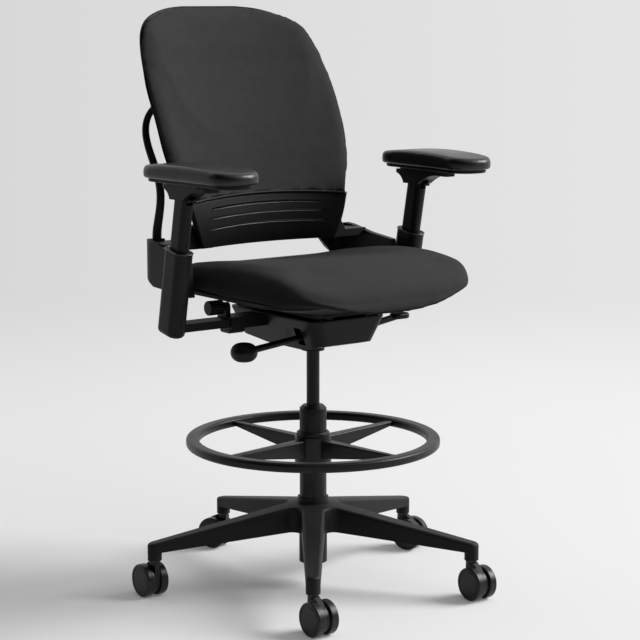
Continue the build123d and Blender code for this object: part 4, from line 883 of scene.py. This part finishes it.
@dataclass
class BackCover(PaddedPiece):
    """The back's cover: a fair outline, a front that rolls over at the rim, a rear that meets the shell."""

    shell: Optional[bpy.types.Object] = None
    tuck: tuple[float, float] = (0.0008, 0.004)
    tuck_search: float = 0.05
    rear_gain: float = 1.6
    front_gain: float = 1.4
    blending: int = 14
    rim_samples: int = 24
    middle_band: float = 0.03
    step: float = 0.004
    fairing: float = 0.04
    measuring: float = 0.01
    ends: tuple[float, float] = (0.05, 0.09)
    roll: tuple[float, float] = (0.024, 0.012)

    def shape(self, piece: bpy.types.Object) -> None:
        """Fairs the cover from foot to top, tucks its rear in and rolls its rim.

        Args:
            piece: the swollen cover.
        """
        mesh = piece.data
        places = points_of(mesh)
        low, high = extent(places)
        heights = np.arange(low[2], high[2] + self.step, self.step)
        half, middle = np.array([self._section(places, height) for height in heights]).T
        start, full = self.ends
        inside = np.clip((np.minimum(heights - low[2], high[2] - heights) - start) / (full - start), 0, 1)
        widen = 1 + inside * (self._fair(half, self.fairing) / self._fair(half, self.measuring) - 1)
        shift = inside * (self._fair(middle, self.fairing) - self._fair(middle, self.measuring))
        places[:, 0] *= np.interp(places[:, 2], heights, widen)
        places[:, 1] += np.interp(places[:, 2], heights, shift)
        put_points(mesh, places)
        rearward = np.array([vertex.normal.y for vertex in mesh.vertices])
        outline = half * widen
        moves = self._tucked(places, heights, outline) * np.clip(self.rear_gain * rearward, 0, 1)
        moves += self._rolled(places, heights, outline) * np.clip(-self.front_gain * rearward, 0, 1)
        places[:, 1] += evened(mesh, moves[:, None], [HALFWAY] * self.blending)[:, 0]
        put_points(mesh, places)

    def _tucked(self, places: np.ndarray, heights: np.ndarray, half: np.ndarray) -> np.ndarray:
        """Tells how far back the shell lies from each point, as the cushion's thin edge stands off from it.

        Args:
            places: the cover's points.
            heights: the heights of the outline.
            half: half the width at each of them.

        Returns:
            One distance for each point.
        """
        shell = skin_of(self.shell)
        clearance, margin = self.tuck
        reach = np.interp(places[:, 2], heights, half) - 2 * margin
        gaps = np.zeros(len(places))
        for index, (across, back, height) in enumerate(places):
            inside = min(max(across, -reach[index]), reach[index])
            hit = shell.ray_cast(Vector((inside, back - margin, height)), REARWARD, self.tuck_search)[0]
            if hit:
                gaps[index] = hit.y - clearance - back
        return gaps

    def _section(self, places: np.ndarray, height: float) -> tuple[float, float]:
        """Measures the cover at one height.

        Args:
            places: the cover's points.
            height: where to measure.

        Returns:
            Half its width, and how far back its front lies in the middle.
        """
        near = places[np.abs(places[:, 2] - height) < 1.5 * self.step]
        across = np.abs(near[:, 0])
        centre = near[across < across.min() + self.middle_band]
        return across.max(), centre[:, 1].min()

    def _fair(self, profile: np.ndarray, width: float) -> np.ndarray:
        """Smooths a profile over about the given width, and keeps its broad curve."""
        spread = width / self.step
        reach = int(3 * spread)
        bell = np.exp(-0.5 * (np.arange(-reach, reach + 1) / spread) ** 2)
        bell /= bell.sum()
        once = np.convolve(np.pad(profile, reach, "reflect", reflect_type="odd"), bell, "valid")
        twice = np.convolve(np.pad(once, reach, "reflect", reflect_type="odd"), bell, "valid")
        return 2 * once - twice

    def _rolled(self, places: np.ndarray, heights: np.ndarray, half: np.ndarray) -> np.ndarray:
        """Tells how far back the roll takes each point: most at the rim, and nothing down at the seam.

        Args:
            places: the cover's points.
            heights: the heights of the outline.
            half: half the width at each of them.

        Returns:
            One distance for each point.
        """
        across = np.linspace(0, half[-1], self.rim_samples)
        sides = np.column_stack([half, heights])
        top = np.column_stack([across, np.full(self.rim_samples, heights[-1])])
        flat = np.column_stack([np.abs(places[:, 0]), places[:, 2]])
        gap = np.full(len(flat), np.inf)
        for place in np.vstack([sides, top]):
            gap = np.minimum(gap, np.hypot(*(flat - place).T))
        width, depth = self.roll
        above = np.clip((places[:, 2] - heights[0]) / self.ends[1], 0, 1)
        return depth * above * np.clip(1 - gap / width, 0, 1) ** 2


@dataclass
class Cushions:
    """The upholstered seat and back and the two arm pads."""

    rack: FinishRack
    nodes: Mapping[str, bpy.types.Object]

    def pieces(self) -> Iterable[PaddedPiece]:
        """Lists the padded pieces.

        Returns:
            One entry for each.
        """
        yield PaddedPiece(
            "seat_cover", "seat_cushion", "seat", Slot.UPHOLSTERY, [DOWN], fill=0.75, rounding=70, grip=0.6
        )
        yield BackCover(
            "back_cover",
            "back_cushion",
            "back",
            Slot.UPHOLSTERY,
            [REARWARD, DOWN],
            fill=0.8,
            rounding=30,
            rounding_axes=(0, 1, 0),
            finishing=30,
            shell=self.nodes["back_shell"],
        )
        for side in SIDES:
            yield PaddedPiece(
                f"arm_{side}_pad_skin",
                f"arm_{side}_pad",
                f"arm_{side}_pad",
                Slot.PAD,
                [DOWN],
                fill=0.95,
                voxel=0.004,
                drawn_in=0.0,
                pressure=0.0,
                evening=8,
                rounding=6,
            )

    def build(self) -> None:
        """Makes every padded piece."""
        for piece in self.pieces():
            piece.build(self.rack, self.nodes)


@dataclass
class Beads:
    """Fine raised lines: lips under the shell's slots, piping under the back cover, rims on the sleeves."""

    nodes: Mapping[str, bpy.types.Object]
    foot: float = 0.677
    slots: Sequence[tuple[float, float]] = ((0.0435, 0.148), (0.064, 0.141), (0.0825, 0.134))
    slot_slope: float = 0.364
    lip_drop: float = 0.0024
    lip_radius: float = 0.0009
    seam_rise: float = 0.1025
    seam_drop: tuple[float, float] = (0.005, 0.14)
    piping_radius: float = 0.0023
    sleeve: tuple[float, float] = (0.065, 0.038)
    sleeve_place: tuple[float, float] = (0.285, 0.04366)
    sleeve_lean: float = math.radians(11)
    rim_radius: float = 0.0014
    slot_samples: int = 49
    seam_samples: int = 241
    rim_samples: int = 48
    settling: int = 4
    tip: float = 0.15
    taper: float = 8.0
    # Glossy, and painted lighter than the shell and arms it sits on: a painted highlight along each line.
    finish: MouldedPlastic = MouldedPlastic(tone=0.03, roughness=0.26, grain_depth=0.00002, specular=0.6)
    piping: MouldedPlastic = MouldedPlastic(tone=0.02, roughness=0.6)

    def build(self) -> None:
        """Lays every line."""
        # The lips and rims share this glossy finish, painted lighter as a painted highlight.
        material = self.finish.build("glossy_bead_painted_highlight")
        shell = skin_of(self.nodes["back_shell"])
        for number, (rise, half_length) in enumerate(self.slots, 1):
            points = self._along_shell(shell, rise - self.lip_drop, half_length)
            self._line(f"slot_lip_{number}", "back", Slot.SHELL, material, points, self.lip_radius)
        piping = self.piping.build("piping")
        self._line("back_piping", "back", Slot.UPHOLSTERY, piping, self._along_seam(), self.piping_radius)
        for side, sign in zip(SIDES, (1, -1)):
            body = f"arm_{side}_support"
            points = self._rim(body, sign)
            self._line(f"arm_{side}_rim", body, Slot.ARM, material, points, self.rim_radius, True)

    def _along_shell(self, shell: BVHTree, rise: float, half_length: float) -> list[Vector]:
        """Follows the front of the shell under one slot, which drops as the shell comes forward at its ends.

        Args:
            shell: the shell's surface.
            rise: height over the shell's foot at the middle.
            half_length: reach to either side.

        Returns:
            Points from one end to the other.
        """
        points: list[Vector] = []
        middle = shell.ray_cast(Vector((0, -1, self.foot + rise)), REARWARD)[0].y
        for across in np.linspace(-half_length, half_length, self.slot_samples):
            place = Vector((across, middle, self.foot + rise))
            for _ in range(self.settling):
                start = Vector((across, -1, self.foot + rise + (place.y - middle) * self.slot_slope))
                place = shell.ray_cast(start, REARWARD)[0] or place
            points.append(place)
        return points

    def _along_seam(self) -> list[Vector]:
        """Follows the gap under the back cushion's front edge, round its corners as far as they face forward.

        Returns:
            Points from one end to the other.
        """
        cushion = skin_of(self.nodes["back_cushion"])
        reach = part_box("back_cushion")[1][0]
        drop, drop_at = self.seam_drop
        points: list[Vector] = []
        for across in np.linspace(-reach, reach, self.seam_samples):
            edge = self.foot + self.seam_rise - drop * (across / drop_at) ** 2
            place = cushion.ray_cast(Vector((across, -1, edge + 0.001)), REARWARD)[0]
            if place:
                points.append(Vector((across, place.y, edge)))
        return points

    def _rim(self, node: str, sign: int) -> list[Vector]:
        """Follows the outer edge round the mouth of an arm's sleeve.

        Args:
            node: the CAD node with the sleeve.
            sign: 1 on the sitter's left, -1 on the right.

        Returns:
            Points once round.
        """
        depth, width = self.sleeve
        half = (depth - width) / 2
        tilt = Vector((0, math.cos(self.sleeve_lean), math.sin(self.sleeve_lean)))
        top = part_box(node)[1][2] - depth / 2 * tilt.z
        centre = Vector((sign * self.sleeve_place[0], self.sleeve_place[1], top))
        points: list[Vector] = []
        for turn in np.linspace(0, 2 * math.pi, self.rim_samples, endpoint=False):
            shift = half if math.cos(turn) > 0 else -half
            along = shift + width / 2 * math.cos(turn)
            points.append(centre + tilt * along + Vector((width / 2 * math.sin(turn), 0, 0)))
        return points

    def _line(
        self,
        name: str,
        body: str,
        slot: Slot,
        material: bpy.types.Material,
        points: Sequence[Vector],
        radius: float,
        closed: bool = False,
    ) -> None:
        """Makes one round line that thins out at open ends.

        Args:
            name: the piece's name.
            body: the body it rides on.
            slot: the record's slot for it, which is not used.
            material: its finish.
            points: where it runs.
            radius: its half thickness.
            closed: whether its ends meet.
        """
        curve = bpy.data.curves.new(name, "CURVE")
        curve.dimensions = "3D"
        curve.bevel_depth = radius
        curve.bevel_resolution = 3
        line = curve.splines.new("POLY")
        line.points.add(len(points) - 1)
        last = len(points) - 1
        for index, (point, place) in enumerate(zip(line.points, points)):
            point.co = (*place, 1.0)
            point.radius = 1.0 if closed else min(1.0, self.tip + min(index, last - index) / self.taper)
        line.use_cyclic_u = closed
        line.use_smooth = True
        curve.use_fill_caps = not closed
        curve.materials.append(material)
        piece = bpy.data.objects.new(name, curve)
        bpy.context.scene.collection.objects.link(piece)
        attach(piece, body)


@dataclass(frozen=True)
class KeyLight:
    """A broad distant light."""

    name: str
    toward: tuple[float, float, float]
    strength: float
    spread: float

    def build(self) -> bpy.types.Object:
        """Hangs the light.

        Returns:
            The light.
        """
        light = bpy.data.lights.new(self.name, "SUN")
        light.energy = self.strength
        light.angle = math.radians(self.spread)
        lamp = bpy.data.objects.new(self.name, light)
        lamp.rotation_euler = (-Vector(self.toward)).to_track_quat("-Z", "Y").to_euler()
        bpy.context.scene.collection.objects.link(lamp)
        return lamp


@dataclass
class Studio:
    """A seamless pale set, painted brighter to the right of the picture as painted light falloff, lit from
    the right and from overhead.
    """

    eye: Vector = field(default_factory=lambda: Vector((-2.3356, -3.1449, 1.1704)))
    aim: Vector = field(default_factory=lambda: Vector((0.0111, -0.0083, 0.538)))
    lens: float = 112.5
    sensor: float = 36.0
    sight: float = 200.0
    right: tuple[float, float] = (0.8028, -0.5962)
    floor_span: float = 60.0
    # floor_tones and floor_drift paint the floor paper darker to the picture's left: painted light falloff.
    floor_tones: tuple[float, float] = (0.82, 0.92)
    floor_drift: float = 1.0
    floor_fibre: float = 0.004
    floor_bounce: float = 0.14
    floor_glow: float = 0.16
    fade: tuple[float, float] = (1.5, 4.2)
    # wall_tone and wall_drift set the backdrop's glow, painted brighter to the picture's right as painted
    # light falloff.
    wall_tone: float = 0.735
    wall_drift: float = 0.3
    wall_standoff: float = 4.0
    wall_edge: tuple[float, float] = (0.0, 0.6)
    dome_tone: float = 0.75
    dome_lean: tuple[float, float] = (0.45, 0.893)
    dome_edge: tuple[float, float] = (0.5, 0.9)
    lights: tuple[KeyLight, ...] = (
        KeyLight("key", (0.82, -0.42, 0.64), 3.3, 32.0),
        KeyLight("rear", (-0.3, 0.85, 0.45), 0.35, 60.0),
    )

    def build(self) -> None:
        """Makes the whole set."""
        self._floor()
        self._sky()
        self._camera()
        for light in self.lights:
            light.build()
        bpy.context.scene.view_settings.view_transform = "Standard"

    def _sideways(self, across: Signal, along: Signal) -> Signal:
        """Measures how far a place or direction lies to the picture's right."""
        return across * self.right[0] + along * self.right[1]

    def _rays(self, graph: Graph) -> tuple[Signal, Signal]:
        """Sorts the rays.

        Args:
            graph: the graph to work in.

        Returns:
            1 for a ray from the camera, and 1 for a ray that shows the set in gloss or through clear things.
        """
        path = graph.node("ShaderNodeLightPath")
        kinds = ("Is Camera Ray", "Is Glossy Ray", "Is Transmission Ray")
        camera, gloss, through = (Signal(graph, path.outputs[kind]) for kind in kinds)
        return camera, gloss + through

    def _floor(self) -> None:
        """Lays the floor, which fades into the backdrop's tone far from the chair."""
        mesh = bpy.data.meshes.new("floor")
        half = self.floor_span / 2
        outline = [(-half, -half, 0), (half, -half, 0), (half, half, 0), (-half, half, 0)]
        mesh.from_pydata(outline, [], [(0, 1, 2, 3)])
        floor = bpy.data.objects.new("floor", mesh)
        bpy.context.scene.collection.objects.link(floor)
        material, graph = new_material("floor_paper")
        across, along, _ = graph.axes("Object")
        reach = (across * across + along * along).root()
        sideways = self._sideways(across, along)
        fibre = graph.noise(self.floor_fibre, 3.0)
        # The paper's colour is painted lighter towards the picture's right, a painted falloff of light.
        share = sideways.rise(-self.floor_drift, self.floor_drift) + (fibre - 0.5) * 0.08
        camera, mirrored = self._rays(graph)
        seen = camera + mirrored
        pale = graph.mix(share, *map(grey, self.floor_tones))
        colour = graph.mix(seen, grey(self.floor_bounce), pale)
        paper = graph.signal("ShaderNodeBsdfDiffuse", 0, None, {"Color": colour})
        # The far floor glows with the backdrop's tone, painted brighter towards the picture's right.
        tone = self.wall_tone + sideways / (reach + self.wall_standoff) * self.wall_drift
        glow = graph.signal("ShaderNodeEmission", 0, None, {"Color": grey(1.0), "Strength": tone})
        far = self.floor_glow + reach.rise(*self.fade) * (1 - self.floor_glow)
        shown = graph.signal("ShaderNodeMixShader", 0, None, {0: far * seen, 1: paper, 2: glow})
        graph.node("ShaderNodeOutputMaterial", None, {"Surface": shown})
        mesh.materials.append(material)

    def _sky(self) -> None:
        """Hangs a soft dome of light to the right, and shows the backdrop to the camera and in gloss."""
        world = bpy.data.worlds.new("studio")
        bpy.context.scene.world = world
        world.use_nodes = True
        graph = Graph(world.node_tree)
        across, along, up = graph.axes("Generated")
        behind = along * self.right[0] - across * self.right[1]
        sideways = self._sideways(across, along)
        # The backdrop is painted brighter towards the picture's right: painted light falloff.
        backdrop = self.wall_tone + sideways * self.wall_drift
        toward = sideways * self.dome_lean[0] + up * self.dome_lean[1]
        dome = toward.rise(*self.dome_edge) * self.dome_tone
        camera, mirrored = self._rays(graph)
        seen = camera + mirrored * behind.rise(*self.wall_edge)
        strength = dome + seen * (backdrop - dome)
        light = graph.signal("ShaderNodeBackground", 0, None, {"Color": grey(1.0), "Strength": strength})
        graph.node("ShaderNodeOutputWorld", None, {"Surface": light})

    def _camera(self) -> None:
        """Sets the camera at the photograph's place."""
        data = bpy.data.cameras.new("camera")
        data.lens = self.lens
        data.sensor_width = self.sensor
        data.clip_end = self.sight
        camera = bpy.data.objects.new("camera", data)
        camera.location = self.eye
        camera.rotation_euler = (self.aim - self.eye).to_track_quat("-Z", "Y").to_euler()
        bpy.context.scene.collection.objects.link(camera)
        bpy.context.scene.camera = camera


def main() -> None:
    """Builds the chair and its set."""
    logging.basicConfig(level=logging.INFO, format="%(name)s: %(message)s")
    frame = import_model()
    rack = FinishRack()
    HardParts(rack, frame["nodes"]).build()
    Cushions(rack, frame["nodes"]).build()
    Beads(frame["nodes"]).build()
    Studio().build()


if __name__ == "__main__":
    main()
